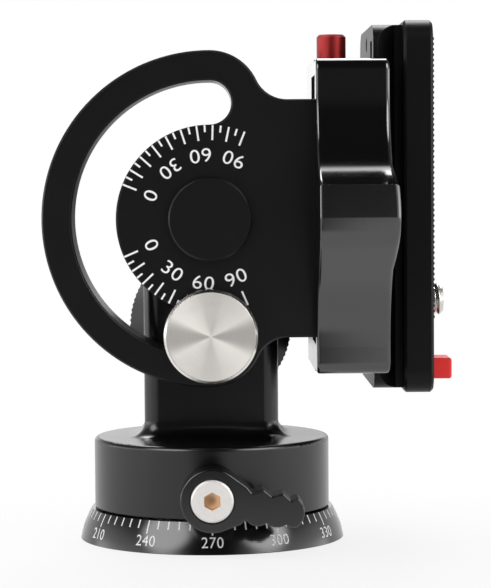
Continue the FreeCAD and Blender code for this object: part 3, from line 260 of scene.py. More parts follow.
@dataclass(frozen=True)
class Finish:
    """Surface of one material: colour, gloss, a fine relief and worn edges.

    Sizes of the relief and of the edges are millimetres. The class values are the same for every
    finish: how many lumps of colour, gloss and wear a millimetre holds, which part of the wear's
    noise shows, how sharp an edge has to be to wear, and how light bare metal is.
    """

    name: str
    colour: Colour
    roughness: float
    metallic: float = 0.0
    ior: float = 1.5
    grain_per_mm: float = 5.0
    grain_height: float = 0.002
    mottle: float = 0.15
    smudge: float = 0.06
    edge_radius: float = 0.12
    edge_wear: float = 0.0

    mottle_per_mm: ClassVar[float] = 0.9
    smudge_per_mm: ClassVar[float] = 0.12
    smudge_fine: ClassVar[float] = 0.8
    smudge_grain: ClassVar[float] = 0.6
    wear_per_mm: ClassVar[float] = 1.7
    wear_band: ClassVar[Band] = (0.42, 0.62)
    edge_band: ClassVar[Band] = (0.01, 0.12)
    bare_least: ClassVar[float] = 0.25
    bare_share: ClassVar[float] = 0.6
    mottle_least: ClassVar[float] = 0.0004

    def relief(self, graph: Graph, point: Signal) -> Signal:
        """Return the height of the surface's grain in millimetres."""
        return graph.noise(point, self.grain_per_mm, 3.0) * self.grain_height

    def shade(self, graph: Graph, point: Signal) -> Signal:
        """Return the colour before wear."""
        lighter = tuple(min(1.0, part * (1.0 + self.mottle) + self.mottle_least) for part in self.colour)
        return graph.blend(graph.noise(point, self.mottle_per_mm, 4.0), self.colour, lighter)

    def edge_mask(self, graph: Graph, bevel: Signal) -> Signal:
        """Return 1 on sharp edges and 0 on flat faces.

        Args:
            graph: The graph that receives the nodes.
            bevel: The normal of the rounded edges.

        Returns:
            The mask.
        """
        plain = graph.node("ShaderNodeNewGeometry", out="Normal")
        inputs = {0: bevel, 1: plain}
        agree = graph.node("ShaderNodeVectorMath", {"operation": "DOT_PRODUCT"}, inputs, "Value")
        return (1.0 - agree).ramp(*self.edge_band)

    def material(self) -> bpy.types.Material:
        """Return the material, made once."""
        known = bpy.data.materials.get(self.name)
        if known:
            return known
        made = bpy.data.materials.new(self.name)
        made.use_nodes = True
        graph = Graph(made.node_tree)
        point = graph.point()
        bevel = graph.node("ShaderNodeBevel", {"samples": 4}, {"Radius": self.edge_radius * MM})
        patches = graph.noise(point, self.wear_per_mm, 3.0).ramp(*self.wear_band)
        worn = self.edge_mask(graph, bevel) * patches * self.edge_wear
        bare = tuple(self.bare_least + self.bare_share * part for part in self.colour)
        colour = graph.blend(worn, self.shade(graph, point), bare)
        broad = graph.noise(point, self.smudge_per_mm, 3.0) - 0.5
        fine = graph.noise(point, self.grain_per_mm * self.smudge_grain) - 0.5
        roughness = broad * self.smudge + fine * (self.smudge * self.smudge_fine) + self.roughness
        height = self.relief(graph, point)
        bump = graph.node("ShaderNodeBump", None, {
            "Strength": 1.0, "Distance": MM, "Height": height, "Normal": bevel,
        })
        surface = graph.node("ShaderNodeBsdfPrincipled", None, {
            "Base Color": colour, "Roughness": roughness, "Metallic": self.metallic, "IOR": self.ior,
            "Normal": bump,
        })
        graph.node("ShaderNodeOutputMaterial", None, {"Surface": surface})
        made.diffuse_color = (*self.colour, 1.0)
        return made


@dataclass(frozen=True)
class Turned(Finish):
    """Finish with the fine rings that a lathe leaves round an axis.

    The pitch and height of the rings are millimetres, and their wander is radians.
    """

    axis: Axis = Axis.Z
    centre: Point = (0.0, 0.0, 0.0)
    ring_pitch: float = 0.22
    ring_height: float = 0.0008
    ring_wander: float = 0.3
    wander_per_mm: ClassVar[float] = 0.35

    def from_axis(self, graph: Graph, point: Signal) -> tuple[Signal, Signal, Signal]:
        """Measure a point from the turned piece's axis.

        Args:
            graph: The graph that receives the nodes.
            point: The place in millimetres.

        Returns:
            The two distances square to the axis and the place along it.
        """
        parts = graph.split(point)
        along = parts.pop(self.axis.value)
        middle = [part / MM for index, part in enumerate(self.centre) if index != self.axis.value]
        return parts[0] - middle[0], parts[1] - middle[1], along

    def relief(self, graph: Graph, point: Signal) -> Signal:
        """Return the grain with the lathe's rings on it."""
        first, second, along = self.from_axis(graph, point)
        radius = (first * first + second * second).root()
        wander = graph.noise(point, self.wander_per_mm) * self.ring_wander
        rings = ((radius + along) * (FULL_TURN / self.ring_pitch) + wander).sine()
        return rings * self.ring_height + super().relief(graph, point)


@dataclass(frozen=True)
class SocketSteel(Turned):
    """Bright steel whose hexagon socket is warm-toned inside, with painted shade towards its middle and a
    painted lit side.

    The socket's radius, its rim's width and the depth band are millimetres, and its mouth is the
    place along the axis, in metres, from which the depth is measured.
    """

    socket_r: float = 1.85
    mouth: float = 0.0
    warm: Colour = (0.95, 0.7, 0.46)
    socket_painted_shade: Colour = (0.42, 0.26, 0.14)
    depth_band: ClassVar[Band] = (0.02, 0.08)
    rim_width: ClassVar[float] = 0.1
    one_sided: ClassVar[float] = 0.5

    def shade(self, graph: Graph, point: Signal) -> Signal:
        """Return steel outside the socket and the warm tone inside it, with painted shade and a painted lit
        side.
        """
        first, second, along = self.from_axis(graph, point)
        radius = (first * first + second * second).root()
        within = 1.0 - radius.ramp(self.socket_r, self.socket_r + self.rim_width)
        inside = (along - self.mouth / MM).ramp(*self.depth_band) * within
        # Painted light and shade: inside the socket the colour runs from a dark tone at the middle to the
        # warm tone on one side, as if lit.
        lit = (radius + first * self.one_sided).ramp(self.rim_width, self.socket_r)
        return graph.blend(inside, super().shade(graph, point), graph.blend(lit, self.socket_painted_shade, self.warm))


@dataclass(frozen=True)
class SheenPaintedSteel(Turned):
    """Steel with painted reflection: dark wedges of sheen are painted into its colour along the level and
    the upright radius.

    The bands are shares of the squared radius, and hub_area, in square millimetres, softens the hub.
    """

    level_painted_dark: float = 0.47
    upright_painted_dark: float = 0.08
    level_band: ClassVar[Band] = (0.75, 1.0)
    upright_band: ClassVar[Band] = (0.85, 1.0)
    hub_area: ClassVar[float] = 0.01

    def shade(self, graph: Graph, point: Signal) -> Signal:
        """Return steel with painted dark wedges that stand in for the faced disc's sheen."""
        level, upright, _ = self.from_axis(graph, point)
        share = level * level / (level * level + upright * upright + self.hub_area)
        # Painted reflection: the colour darkens in wedges where the grooves' sheen would look dark.
        dark = share.ramp(*self.level_band) * self.level_painted_dark
        dark = dark + (1.0 - share).ramp(*self.upright_band) * self.upright_painted_dark
        return graph.blend(dark, super().shade(graph, point), (0.0, 0.0, 0.0))


@dataclass(frozen=True)
class Paint(Finish):
    """White engraving fill, slightly uneven."""

    def relief(self, graph: Graph, point: Signal) -> Signal:
        """Return a soft orange-peel height."""
        return graph.noise(point, self.grain_per_mm, 1.0) * self.grain_height


BLACK: Colour = (0.003, 0.003, 0.0032)
ARM_BLACK = Finish(
    "arm_black_anodised", (0.0045, 0.0045, 0.0047), 0.3, ior=1.42,
    grain_per_mm=6.0, grain_height=0.0018, edge_wear=0.06,
)
CLAMP_BLACK = Finish(
    "clamp_black_anodised", BLACK, 0.12, ior=1.85, grain_per_mm=7.0, grain_height=0.0006,
)
PLATE_BLACK = Finish(
    "plate_black_blasted", (0.002, 0.002, 0.0021), 0.4, ior=1.26,
    grain_per_mm=3.2, grain_height=0.005, edge_wear=0.05,
)
LEVER_BLACK = Finish(
    "lever_black_satin", BLACK, 0.22, ior=1.6, grain_per_mm=4.0, edge_wear=0.08,
)
KNOB_BLACK = Finish("knob_black_anodised", BLACK, 0.33, grain_per_mm=6.0, edge_wear=0.15)
HOUSING_BLACK = Turned(
    "housing_black_anodised", BLACK, 0.24, ior=1.52,
    grain_per_mm=6.0, grain_height=0.0008, ring_height=0.0003, edge_wear=0.05,
)
DIAL_BLACK = Turned(
    "dial_black_anodised", BLACK, 0.16, ior=1.6,
    grain_per_mm=6.0, grain_height=0.0006, edge_wear=0.08,
)
PLASTIC_BLACK = Finish(
    "cap_black_plastic", (0.016, 0.016, 0.016), 0.5, grain_per_mm=3.0, grain_height=0.006,
)
SCREW_BLACK = Finish(
    "screws_black_oxide", (0.03, 0.03, 0.032), 0.35, metallic=0.6, grain_height=0.0015,
)
STEEL = Finish(
    "bright_steel", (0.62, 0.6, 0.575), 0.26, metallic=1.0, grain_height=0.0012, mottle=0.05,
)
SPRING_STEEL = Finish("spring_steel", (0.45, 0.44, 0.43), 0.3, metallic=1.0, grain_height=0.0008)
BRASS = Finish("machined_brass", (0.62, 0.43, 0.17), 0.3, metallic=1.0, grain_height=0.0012)
BRONZE = Finish(
    "sintered_bronze", (0.42, 0.27, 0.14), 0.5, metallic=1.0, grain_per_mm=3.0, grain_height=0.006,
)
NYLON = Finish("natural_nylon", (0.7, 0.69, 0.65), 0.45, grain_per_mm=2.0, grain_height=0.003)
RUBBER = Finish(
    "pad_rubber", (0.012, 0.012, 0.012), 0.68, grain_per_mm=4.0, grain_height=0.01, smudge=0.1,
)
RED_METAL = Finish(
    "button_red_anodised", (0.3, 0.018, 0.019), 0.36, metallic=0.7, grain_height=0.0003, mottle=0.1,
)
RED_TAB = Finish("tab_red", (0.95, 0.03, 0.028), 0.45, ior=1.4, grain_height=0.003, mottle=0.08)
MARK_WHITE = Paint(
    "white_engraving_fill", (0.97, 0.97, 0.97), 0.5, grain_per_mm=4.0, mottle=0.02, edge_radius=0.01,
)

FIGURE_CURVE_STEPS = 5
FIGURE_SPACING = 1.06


def dress(finish: Finish, *nodes: str) -> None:
    """Give CAD nodes a finish.

    Args:
        finish: The finish.
        nodes: Names of the nodes.
    """
    for name in nodes:
        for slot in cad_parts[name].material_slots:
            slot.material = finish.material()


def add_piece(name: str, mesh: bmesh.types.BMesh, finish: Finish, body: str) -> bpy.types.Object:
    """Turn a bmesh into a piece that rides on a body.

    Args:
        name: The piece's name.
        mesh: Its geometry, in place; it is freed.
        finish: Its finish.
        body: The body that it rides on.

    Returns:
        The piece.
    """
    bmesh.ops.recalc_face_normals(mesh, faces=mesh.faces)
    data = bpy.data.meshes.new(name)
    mesh.to_mesh(data)
    mesh.free()
    piece = bpy.data.objects.new(name, data)
    bpy.context.scene.collection.objects.link(piece)
    data.materials.append(finish.material())
    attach(piece, body)
    log.info("%s: %d faces on %s", name, len(data.polygons), body)
    return piece


def add_prism(mesh: bmesh.types.BMesh, corners: Sequence[tuple[float, float]], depth: float,
              place: Place) -> None:
    """Add a closed prism over a flat outline.

    Args:
        mesh: The mesh that receives it.
        corners: The outline, counter-clockwise.
        depth: Half of its thickness.
        place: Gives the point for an across, an up and an out distance.
    """
    low = [mesh.verts.new(place(across, up, -depth)) for across, up in corners]
    high = [mesh.verts.new(place(across, up, depth)) for across, up in corners]
    mesh.faces.new(high)
    mesh.faces.new(list(reversed(low)))
    for index, corner in enumerate(low):
        after = (index + 1) % len(low)
        mesh.faces.new((corner, low[after], high[after], high[index]))


def add_number(mesh: bmesh.types.BMesh, text: str, height: float, depth: float, place: Place,
               widening: float = 1.0) -> None:
    """Add a number in plain figures.

    Args:
        mesh: The mesh that receives it.
        text: The figures.
        height: Their height.
        depth: Half of their thickness.
        place: Gives the point for an across, an up and an out distance.
        widening: How much wider than usual the figures are.
    """
    curve = bpy.data.curves.new("figures", "FONT")
    curve.body = text
    curve.align_x = "CENTER"
    curve.align_y = "CENTER"
    curve.extrude = 1.0
    curve.resolution_u = FIGURE_CURVE_STEPS
    curve.space_character = FIGURE_SPACING
    carrier = bpy.data.objects.new("figures", curve)
    figures = bpy.data.meshes.new_from_object(carrier)
    ups = [vertex.co.y for vertex in figures.vertices]
    scale = height / (max(ups) - min(ups))
    middle = (max(ups) + min(ups)) / 2.0
    known = {}
    for vertex in figures.vertices:
        across = vertex.co.x * scale * widening
        up = (vertex.co.y - middle) * scale
        known[vertex.index] = mesh.verts.new(place(across, up, vertex.co.z * depth))
    for face in figures.polygons:
        mesh.faces.new([known[index] for index in face.vertices])
    bpy.data.objects.remove(carrier)
    bpy.data.meshes.remove(figures)
    bpy.data.curves.remove(curve)


def round_angles(count: int) -> list[float]:
    """Return evenly spaced angles of a full turn."""
    return [FULL_TURN * index / count for index in range(count)]


def ring_of(mesh: bmesh.types.BMesh, points: Sequence[Vector]) -> Row:
    """Add a row of vertices."""
    return [mesh.verts.new(point) for point in points]


def bridge(mesh: bmesh.types.BMesh, first: Row, second: Row) -> None:
    """Join two closed rows of the same length with quads.

    Args:
        mesh: The mesh that holds them.
        first: A row.
        second: The next row.
    """
    for index in range(len(first)):
        after = (index + 1) % len(first)
        face = mesh.faces.new((first[index], first[after], second[after], second[index]))
        face.smooth = True


@dataclass
class Thread:
    """Helical V thread along an axis; flat is the share of a flank that each flat takes."""

    crest_r: float
    root_r: float
    pitch: float
    segments: int = 48
    rows_per_turn: int = 8
    flat: float = 0.125

    def radius(self, along: float, angle: float) -> float:
        """Return the thread's radius.

        Args:
            along: The distance along the axis.
            angle: The angle round it.

        Returns:
            The radius there.
        """
        phase = (along / self.pitch - angle / FULL_TURN) % 1.0
        climb = (1.0 + 2.0 * self.flat) * (1.0 - abs(2.0 * phase - 1.0)) - self.flat
        return self.root_r + (self.crest_r - self.root_r) * min(1.0, max(0.0, climb))

    def rows(self, mesh: bmesh.types.BMesh, start: float, end: float, place: Place,
             limit: Callable[[float], float] | None = None) -> list[Row]:
        """Add the thread's rows of vertices and join them.

        Args:
            mesh: The mesh that receives them.
            start: Where the thread starts along the axis.
            end: Where it ends.
            place: Gives the point for a distance, an angle and a radius.
            limit: Gives the largest radius at a distance, or None.

        Returns:
            The rows.
        """
        count = max(2, round((end - start) / self.pitch * self.rows_per_turn))
        rows = []
        for row in range(count + 1):
            along = start + (end - start) * row / count
            points = []
            for angle in round_angles(self.segments):
                radius = self.radius(along, angle)
                if limit:
                    radius = min(radius, limit(along))
                points.append(place(along, angle, radius))
            rows.append(ring_of(mesh, points))
        for low, high in zip(rows, rows[1:]):
            bridge(mesh, low, high)
        return rows


@dataclass
class PanBase:
    """Scaled dial ring, spindle and what fastens them."""

    body: str = "base"
    top_r: float = 23.45 * MM
    middle: tuple[float, float] = (24.85 * MM, 2.9 * MM)
    foot_r: float = 25.65 * MM
    tick_step: int = 5
    number_step: int = 30
    tick_short: float = 1.45 * MM
    tick_long: float = 2.35 * MM
    tick_width: float = 0.27 * MM
    tick_gap: float = 0.05 * MM
    tick_rows: int = 4
    number_height: float = 1.95 * MM
    number_z: float = 2.25 * MM
    proud: float = 0.02 * MM
    thread_start: float = 0.3 * MM
    thread_end: float = 12.0 * MM
    thread_wall: float = 4.3 * MM
    top: float = field(default_factory=lambda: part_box("base_dial")[1].z)
    thread: Thread = field(default_factory=lambda: Thread(4.25 * MM, 3.9 * MM, 1.5875 * MM, 64))

    def surface(self, angle: float, height: float, out: float) -> Vector:
        """Return a point on the ring's flare, whose curve runs through three known radii.

        Args:
            angle: The angle from +X towards +Y.
            height: The height above the base's underside.
            out: The distance out from the surface.

        Returns:
            The point.
        """
        middle_r, middle_z = self.middle
        known = ((0.0, self.foot_r), (middle_z, middle_r), (self.top, self.top_r))
        radius = 0.0
        for index, (z, value) in enumerate(known):
            share = value
            for other, (other_z, _) in enumerate(known):
                if other != index:
                    share *= (height - other_z) / (z - other_z)
            radius += share
        slope = (self.top_r - self.foot_r) / self.top
        normal = Vector((1.0, -slope)).normalized()
        radius += out * normal.x
        return Vector((radius * math.cos(angle), radius * math.sin(angle), height + out * normal.y))

    def add_tick(self, mesh: bmesh.types.BMesh, angle: float, length: float) -> None:
        """Add one tick in short lengths that follow the flare.

        Args:
            mesh: The mesh that receives it.
            angle: Its angle round the pan axis.
            length: Its length.
        """
        half = self.tick_width / 2.0 / self.top_r
        start = self.top - self.tick_gap
        for row in range(self.tick_rows):
            high = start - length * row / self.tick_rows
            low = start - length * (row + 1) / self.tick_rows
            corners = [(-half, low), (half, low), (half, high), (-half, high)]
            add_prism(mesh, corners, self.proud,
                      lambda across, up, out: self.surface(angle + across, up, out))

    def place_figure(self, angle: float, across: float, up: float, out: float) -> Vector:
        """Return a point of a number on the flare.

        Args:
            angle: The number's angle round the pan axis.
            across: The distance across the number from its middle.
            up: The distance up from its middle.
            out: The distance out from the surface.

        Returns:
            The point.
        """
        return self.surface(angle + across / self.foot_r, self.number_z + up, out)

    def scale(self) -> None:
        """Build the pan scale's ticks and numbers."""
        ticks = bmesh.new()
        numbers = bmesh.new()
        for degrees in range(0, 360, self.tick_step):
            angle = math.radians(degrees)
            numbered = degrees % self.number_step == 0
            self.add_tick(ticks, angle, self.tick_long if numbered else self.tick_short)
            if numbered:
                add_number(numbers, str(degrees), self.number_height, self.proud * 2.0,
                           partial(self.place_figure, angle))
        add_piece("pan_scale_ticks", ticks, MARK_WHITE, self.body)
        add_piece("pan_scale_numbers", numbers, MARK_WHITE, self.body)

    def place(self, along: float, angle: float, radius: float) -> Vector:
        """Return a point round the pan axis, at a height, an angle and a radius."""
        return Vector((radius * math.cos(angle), radius * math.sin(angle), along))

    def tripod_thread(self) -> None:
        """Build the thread in the spindle's bore, as a sleeve with the thread inside."""
        mesh = bmesh.new()
        rows = self.thread.rows(mesh, self.thread_start, self.thread_end, self.place)
        angles = round_angles(self.thread.segments)
        low, high = (ring_of(mesh, [self.place(along, angle, self.thread_wall) for angle in angles])
                     for along in (self.thread_start, self.thread_end))
        bridge(mesh, low, high)
        bridge(mesh, rows[0], low)
        bridge(mesh, rows[-1], high)
        add_piece("tripod_thread_turns", mesh, STEEL, self.body)

    def build(self) -> None:
        """Dress the nodes and build the scale and the thread."""
        dress(DIAL_BLACK, "base_dial")
        dress(STEEL, "pan_spindle")
        dress(SCREW_BLACK, "dial_screws")
        dress(NYLON, "thrust_washer")
        self.scale()
        self.tripod_thread()


@dataclass
class Housing:
    """Round housing with the stem, its screws and the pan lock."""

    lever_axis: Point = (0.0, -24.4 * MM, 10.7 * MM)

    def build(self) -> None:
        """Dress the nodes."""
        dress(HOUSING_BLACK, "stem_housing")
        dress(SCREW_BLACK, "retaining_screws", "pivot_nut")
        dress(STEEL, "lever_washer", "pivot_bolt")
        dress(SPRING_STEEL, "pivot_spring_washer")
        dress(BRASS, "pan_brake_shoe")
        dress(NYLON, "tilt_friction_washer")
        dress(LEVER_BLACK, "pan_lock_lever")
        screw = SocketSteel(
            "lever_screw_steel", (0.86, 0.83, 0.81), 0.42, metallic=0.5, grain_height=0.001,
            axis=Axis.Y, centre=self.lever_axis, mouth=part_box("lever_screw")[0].y,
            ring_pitch=0.16, ring_height=0.0015,
        )
        dress(screw, "lever_screw")


@dataclass
class TiltArm:
    """Slotted arm with its two dial scales and the pivot.

    Each scale starts at an angle of the face and counts up in its own sense.
    """

    body: str = "arm"
    pivot_z: float = 62.2 * MM
    face_y: float = -19.0 * MM
    scale_r: float = 17.55 * MM
    sweep: int = 90
    tick_step: int = 5
    long_step: int = 10
    number_step: int = 30
    tick_long: float = 2.8 * MM
    tick_short: float = 1.3 * MM
    tick_width: float = 0.36 * MM
    number_r: float = 11.95 * MM
    number_height: float = 2.55 * MM
    number_widening: float = 1.15
    proud: float = 0.02 * MM
    starts: tuple[tuple[float, float], ...] = ((158.0, -1.0), (203.4, 1.0))

    def place(self, angle: float, across: float, up: float, out: float) -> Vector:
        """Return a point of the face from its place beside a radius.

        Args:
            angle: The radius's angle from +X towards +Z.
            across: The distance across it.
            up: The distance along it, from the pivot.
            out: The distance out from the face.

        Returns:
            The point.
        """
        x = up * math.cos(angle) + across * math.sin(angle)
        z = up * math.sin(angle) - across * math.cos(angle)
        return Vector((x, self.face_y - out, self.pivot_z + z))

    def place_figure(self, angle: float, across: float, up: float, out: float) -> Vector:
        """Return a point of a number, whose figures have their heads towards the pivot.

        Args:
            angle: The angle of the number's radius.
            across: The distance across the number from its middle.
            up: The distance up the figures from its middle.
            out: The distance out from the face.

        Returns:
            The point.
        """
        return self.place(angle, -across, self.number_r - up, out)

    def build_scale(self) -> None:
        """Build the ticks and numbers of both scales."""
        ticks = bmesh.new()
        numbers = bmesh.new()
        half = self.tick_width / 2.0
        for start, sense in self.starts:
            for degrees in range(0, self.sweep + 1, self.tick_step):
                angle = math.radians(start + sense * degrees)
                low = self.scale_r - (self.tick_short if degrees % self.long_step else self.tick_long)
                corners = [(-half, low), (half, low), (half, self.scale_r), (-half, self.scale_r)]
                add_prism(ticks, corners, self.proud, partial(self.place, angle))
                if degrees % self.number_step == 0:
                    add_number(numbers, str(degrees), self.number_height, self.proud,
                               partial(self.place_figure, angle), self.number_widening)
        add_piece("tilt_scale_ticks", ticks, MARK_WHITE, self.body)
        add_piece("tilt_scale_numbers", numbers, MARK_WHITE, self.body)

    def build(self) -> None:
        """Dress the nodes and build the scales."""
        dress(ARM_BLACK, "tilt_plate", "pivot_cap")
        dress(BRONZE, "pivot_bushing")
        self.build_scale()


@dataclass
class TiltLock:
    """Turned disc, its bolt and the knurled knob behind the stem."""

    body: str = "tilt_bolt"
    axis_z: float = 40.43 * MM
    groove_pitch: float = 0.075 * MM
    groove_depth: float = 0.02 * MM
    slope_limits: tuple[float, float] = (0.19, 0.26)
    slope_seed: int = 7
    face_r: float = 8.28 * MM
    face_proud: float = 0.004 * MM
    skirt_sunk: float = 0.05 * MM
    segments: int = 128

    def face_rows(self, mesh: bmesh.types.BMesh, floor_y: float) -> list[Row]:
        """Add the rows of the grooves, from the inmost.

        Args:
            mesh: The mesh that receives them.
            floor_y: The place of the grooves' floor along Y.

        Returns:
            The rows.
        """
        draw = random.Random(self.slope_seed)
        height = 0.0
        rows = []
        for number in range(1, int(self.face_r / self.groove_pitch) + 1):
            slope = draw.uniform(*self.slope_limits) * (1.0 if number % 2 else -1.0)
            height = min(self.groove_depth, max(0.0, height + slope * self.groove_pitch))
            radius = self.groove_pitch * number
            points = []
            for angle in round_angles(self.segments):
                z = self.axis_z + radius * math.sin(angle)
                points.append(Vector((radius * math.cos(angle), floor_y - height, z)))
            rows.append(ring_of(mesh, points))
        return rows

    def turned_face(self) -> None:
        """Build the disc's face with the fine grooves of the lathe."""
        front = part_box("tilt_clamp_bolt")[0].y
        floor_y = front - self.face_proud
        mesh = bmesh.new()
        tip = mesh.verts.new(Vector((0.0, floor_y, self.axis_z)))
        rows = self.face_rows(mesh, floor_y)
        for index, corner in enumerate(rows[0]):
            mesh.faces.new((tip, corner, rows[0][(index + 1) % self.segments])).smooth = True
        for inner, outer in zip(rows, rows[1:]):
            bridge(mesh, inner, outer)
        sunk = [Vector((vertex.co.x, front + self.skirt_sunk, vertex.co.z)) for vertex in rows[-1]]
        skirt = ring_of(mesh, sunk)
        bridge(mesh, rows[-1], skirt)
        mesh.faces.new(skirt)
        for row in rows:
            for index, corner in enumerate(row):
                mesh.edges.get((corner, row[(index + 1) % self.segments])).smooth = False
        # The disc's face has painted reflection: dark wedges of sheen in its colour.
        face = SheenPaintedSteel(
            "turned_disc_steel_painted_sheen", (0.88, 0.845, 0.8), 0.36, metallic=0.7, grain_height=0.0003,
            axis=Axis.Y, centre=(0.0, 0.0, self.axis_z), ring_pitch=0.15, ring_height=0.0003,
            ring_wander=0.0, mottle=0.02, smudge=0.02, edge_radius=0.01,
        )
        add_piece("turned_disc_face", mesh, face, self.body)

    def build(self) -> None:
        """Dress the nodes and build the disc's face."""
        rim = Turned(
            "turned_rim_steel", (0.7, 0.68, 0.65), 0.2, metallic=1.0, grain_height=0.0005,
            axis=Axis.Y, centre=(0.0, 0.0, self.axis_z), ring_pitch=0.12,
        )
        dress(rim, "tilt_clamp_bolt")
        dress(NYLON, "slot_washer", "slot_bushing")
        dress(KNOB_BLACK, "tilt_lock_knob")
        dress(BRASS, "knob_insert")
        dress(PLASTIC_BLACK, "knob_end_cap")
        self.turned_face()


@dataclass
class Clamp:
    """Dovetail clamp with jaw, knob, release button and safety pin."""

    def build(self) -> None:
        """Dress the nodes."""
        dress(CLAMP_BLACK, "clamp_body", "clamp_jaw")
        dress(SCREW_BLACK, "clamp_mount_screws")
        dress(STEEL, "clamp_dowels", "jaw_guide_pins", "clamp_screw", "screw_clip", "safety_pin")
        dress(SPRING_STEEL, "jaw_springs", "button_spring", "pin_spring")
        dress(KNOB_BLACK, "clamp_knob")
        dress(NYLON, "clamp_knob_washer")
        dress(RED_METAL, "release_button")


@dataclass
class CameraPlate:
    """Plate with its ribbed pad, captive camera screw and red stop.

    The camera screw runs along X: a slotted head, a neck and a thread that narrows at both ends.
    """

    screw_z: float = 45.9 * MM
    head_x: float = 31.0 * MM
    head_top_x: float = 33.9 * MM
    thread_x: float = 42.35 * MM
    tip_x: float = 45.3 * MM
    head_r: float = 6.2 * MM
    head_chamfer: float = 0.4 * MM
    neck_r: float = 2.4 * MM
    tip_r: float = 2.35 * MM
    lead_in: float = 1.6
    neck_gap: float = 0.02 * MM
    coin_half: float = 0.7 * MM
    coin_depth: float = 1.3 * MM
    thread: Thread = field(default_factory=lambda: Thread(3.17 * MM, 2.62 * MM, 1.27 * MM, 56, 10))

    def place(self, along: float, angle: float, radius: float) -> Vector:
        """Return a point round the camera screw's axis, at a place along it, an angle and a radius."""
        return Vector((along, radius * math.cos(angle), self.screw_z + radius * math.sin(angle)))

    def thread_limit(self, along: float) -> float:
        """Return the largest radius of the thread at a place along the screw."""
        start = self.thread.root_r + (along - self.thread_x) * self.lead_in
        return min(start, self.tip_r + self.tip_x - along)

    def camera_screw(self) -> None:
        """Build the camera screw with its thread, slotted head and neck."""
        mesh = bmesh.new()
        profile = (
            (self.head_x, self.head_r - self.head_chamfer),
            (self.head_x + self.head_chamfer, self.head_r),
            (self.head_top_x, self.head_r),
            (self.head_top_x, self.neck_r),
            (self.thread_x, self.neck_r),
        )
        angles = round_angles(self.thread.segments)
        rows = [ring_of(mesh, [self.place(along, angle, radius) for angle in angles])
                for along, radius in profile]
        for low, high in zip(rows, rows[1:]):
            bridge(mesh, low, high)
        start = self.thread_x + self.neck_gap
        turns = self.thread.rows(mesh, start, self.tip_x, self.place, self.thread_limit)
        bridge(mesh, rows[-1], turns[0])
        mesh.faces.new(turns[-1])
        self.slotted_end(mesh, rows[0])
        piece = add_piece("camera_screw_threaded", mesh, STEEL, "mount_screw")
        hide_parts("camera_screw")

    def slotted_end(self, mesh: bmesh.types.BMesh, rim: Row) -> None:
        """Close the head's underside with a coin slot across it.

        Args:
            mesh: The mesh that receives it.
            rim: The head's lowest row.
        """
        halves = []
        for side in (1.0, -1.0):
            arc = [vertex for vertex in rim if (vertex.co.z - self.screw_z) * side > self.coin_half]
            arc.sort(key=lambda vertex: vertex.co.y)
            z = self.screw_z + side * self.coin_half
            ends = [Vector((self.head_x, vertex.co.y, z)) for vertex in (arc[0], arc[-1])]
            edge = ring_of(mesh, ends)
            floor = ring_of(mesh, [end + Vector((self.coin_depth, 0.0, 0.0)) for end in ends])
            mesh.faces.new(arc + [edge[1], edge[0]])
            mesh.faces.new((edge[0], edge[1], floor[1], floor[0]))
            halves.append((arc, edge, floor))
        (top_arc, top_edge, top_floor), (low_arc, low_edge, low_floor) = halves
        mesh.faces.new((top_floor[0], top_floor[1], low_floor[1], low_floor[0]))
        for end in (0, 1):
            between = [vertex for vertex in rim
                       if abs(vertex.co.z - self.screw_z) <= self.coin_half
                       and (vertex.co.y > 0.0) == bool(end)]
            between.sort(key=lambda vertex: -vertex.co.z)
            mesh.faces.new([top_edge[end], top_arc[-end], *between, low_arc[-end], low_edge[end],
                            low_floor[end], top_floor[end]])

    def build(self) -> None:
        """Dress the nodes and build the camera screw."""
        dress(PLATE_BLACK, "camera_plate")
        dress(RUBBER, "rubber_pad")
        dress(SCREW_BLACK, "plate_stop_screws", "screw_retainer")
        dress(STEEL, "tab_pin")
        dress(RED_TAB, "stop_tab")
        self.camera_screw()


@dataclass(frozen=True)
class Surroundings:
    """White room that reflections see, by the part of a direction across, along and up.

    It is dim in a strip behind the camera, in a cone behind the object and overhead, and brighter
    at the sides, in a low band far behind and in three soft boxes. A band gives the two values
    between which a part rises from 0 to 1.
    """

    strip_side: Band = (0.25, 0.55)
    strip_front: Band = (-0.45, -0.05)
    strip_dark: float = 0.93
    cone_along: Band = (0.93, 0.985)
    cone_up: Band = (0.05, 0.08)
    cone_side: Band = (-0.03, 0.0)
    cone_dark: float = 0.97
    side_across: Band = (0.8, 0.95)
    side_up: Band = (0.0, 0.2)
    side_fade: float = 0.9
    side_light: float = 3.0
    ceiling_up: Band = (0.15, 0.5)
    ceiling_dark: float = 0.8
    back_along: Band = (0.9, 0.97)
    back_light: float = 0.4
    box_edge: Band = (0.91, 0.965)
    boxes: tuple[tuple[Point, float], ...] = (
        ((-0.61, -0.57, 0.55), 5.5), ((0.67, -0.505, 0.54), 6.0), ((0.0, 0.6, 0.8), 5.0),
    )

    def level(self, graph: Graph) -> Signal:
        """Return the brightness of the room in the direction that the world is seen in."""
        across, along, up = graph.split(graph.node("ShaderNodeTexCoord", out="Generated"))
        strip = (1.0 - across.size().ramp(*self.strip_side)) * (-along).ramp(*self.strip_front)
        cone = along.ramp(*self.cone_along) * (1.0 - up.ramp(*self.cone_up)) * across.ramp(*self.cone_side)
        side = across.size().ramp(*self.side_across) * (1.0 - up.ramp(*self.side_up) * self.side_fade)
        level = 1.0 - up.ramp(*self.ceiling_up) * self.ceiling_dark
        level = level + side * self.side_light + along.ramp(*self.back_along) * self.back_light
        level = level * (1.0 - strip * self.strip_dark) * (1.0 - cone * self.cone_dark)
        for (x, y, z), light in self.boxes:
            facing = across * x + along * y + up * z
            level = level + facing.ramp(*self.box_edge) * light
        return level


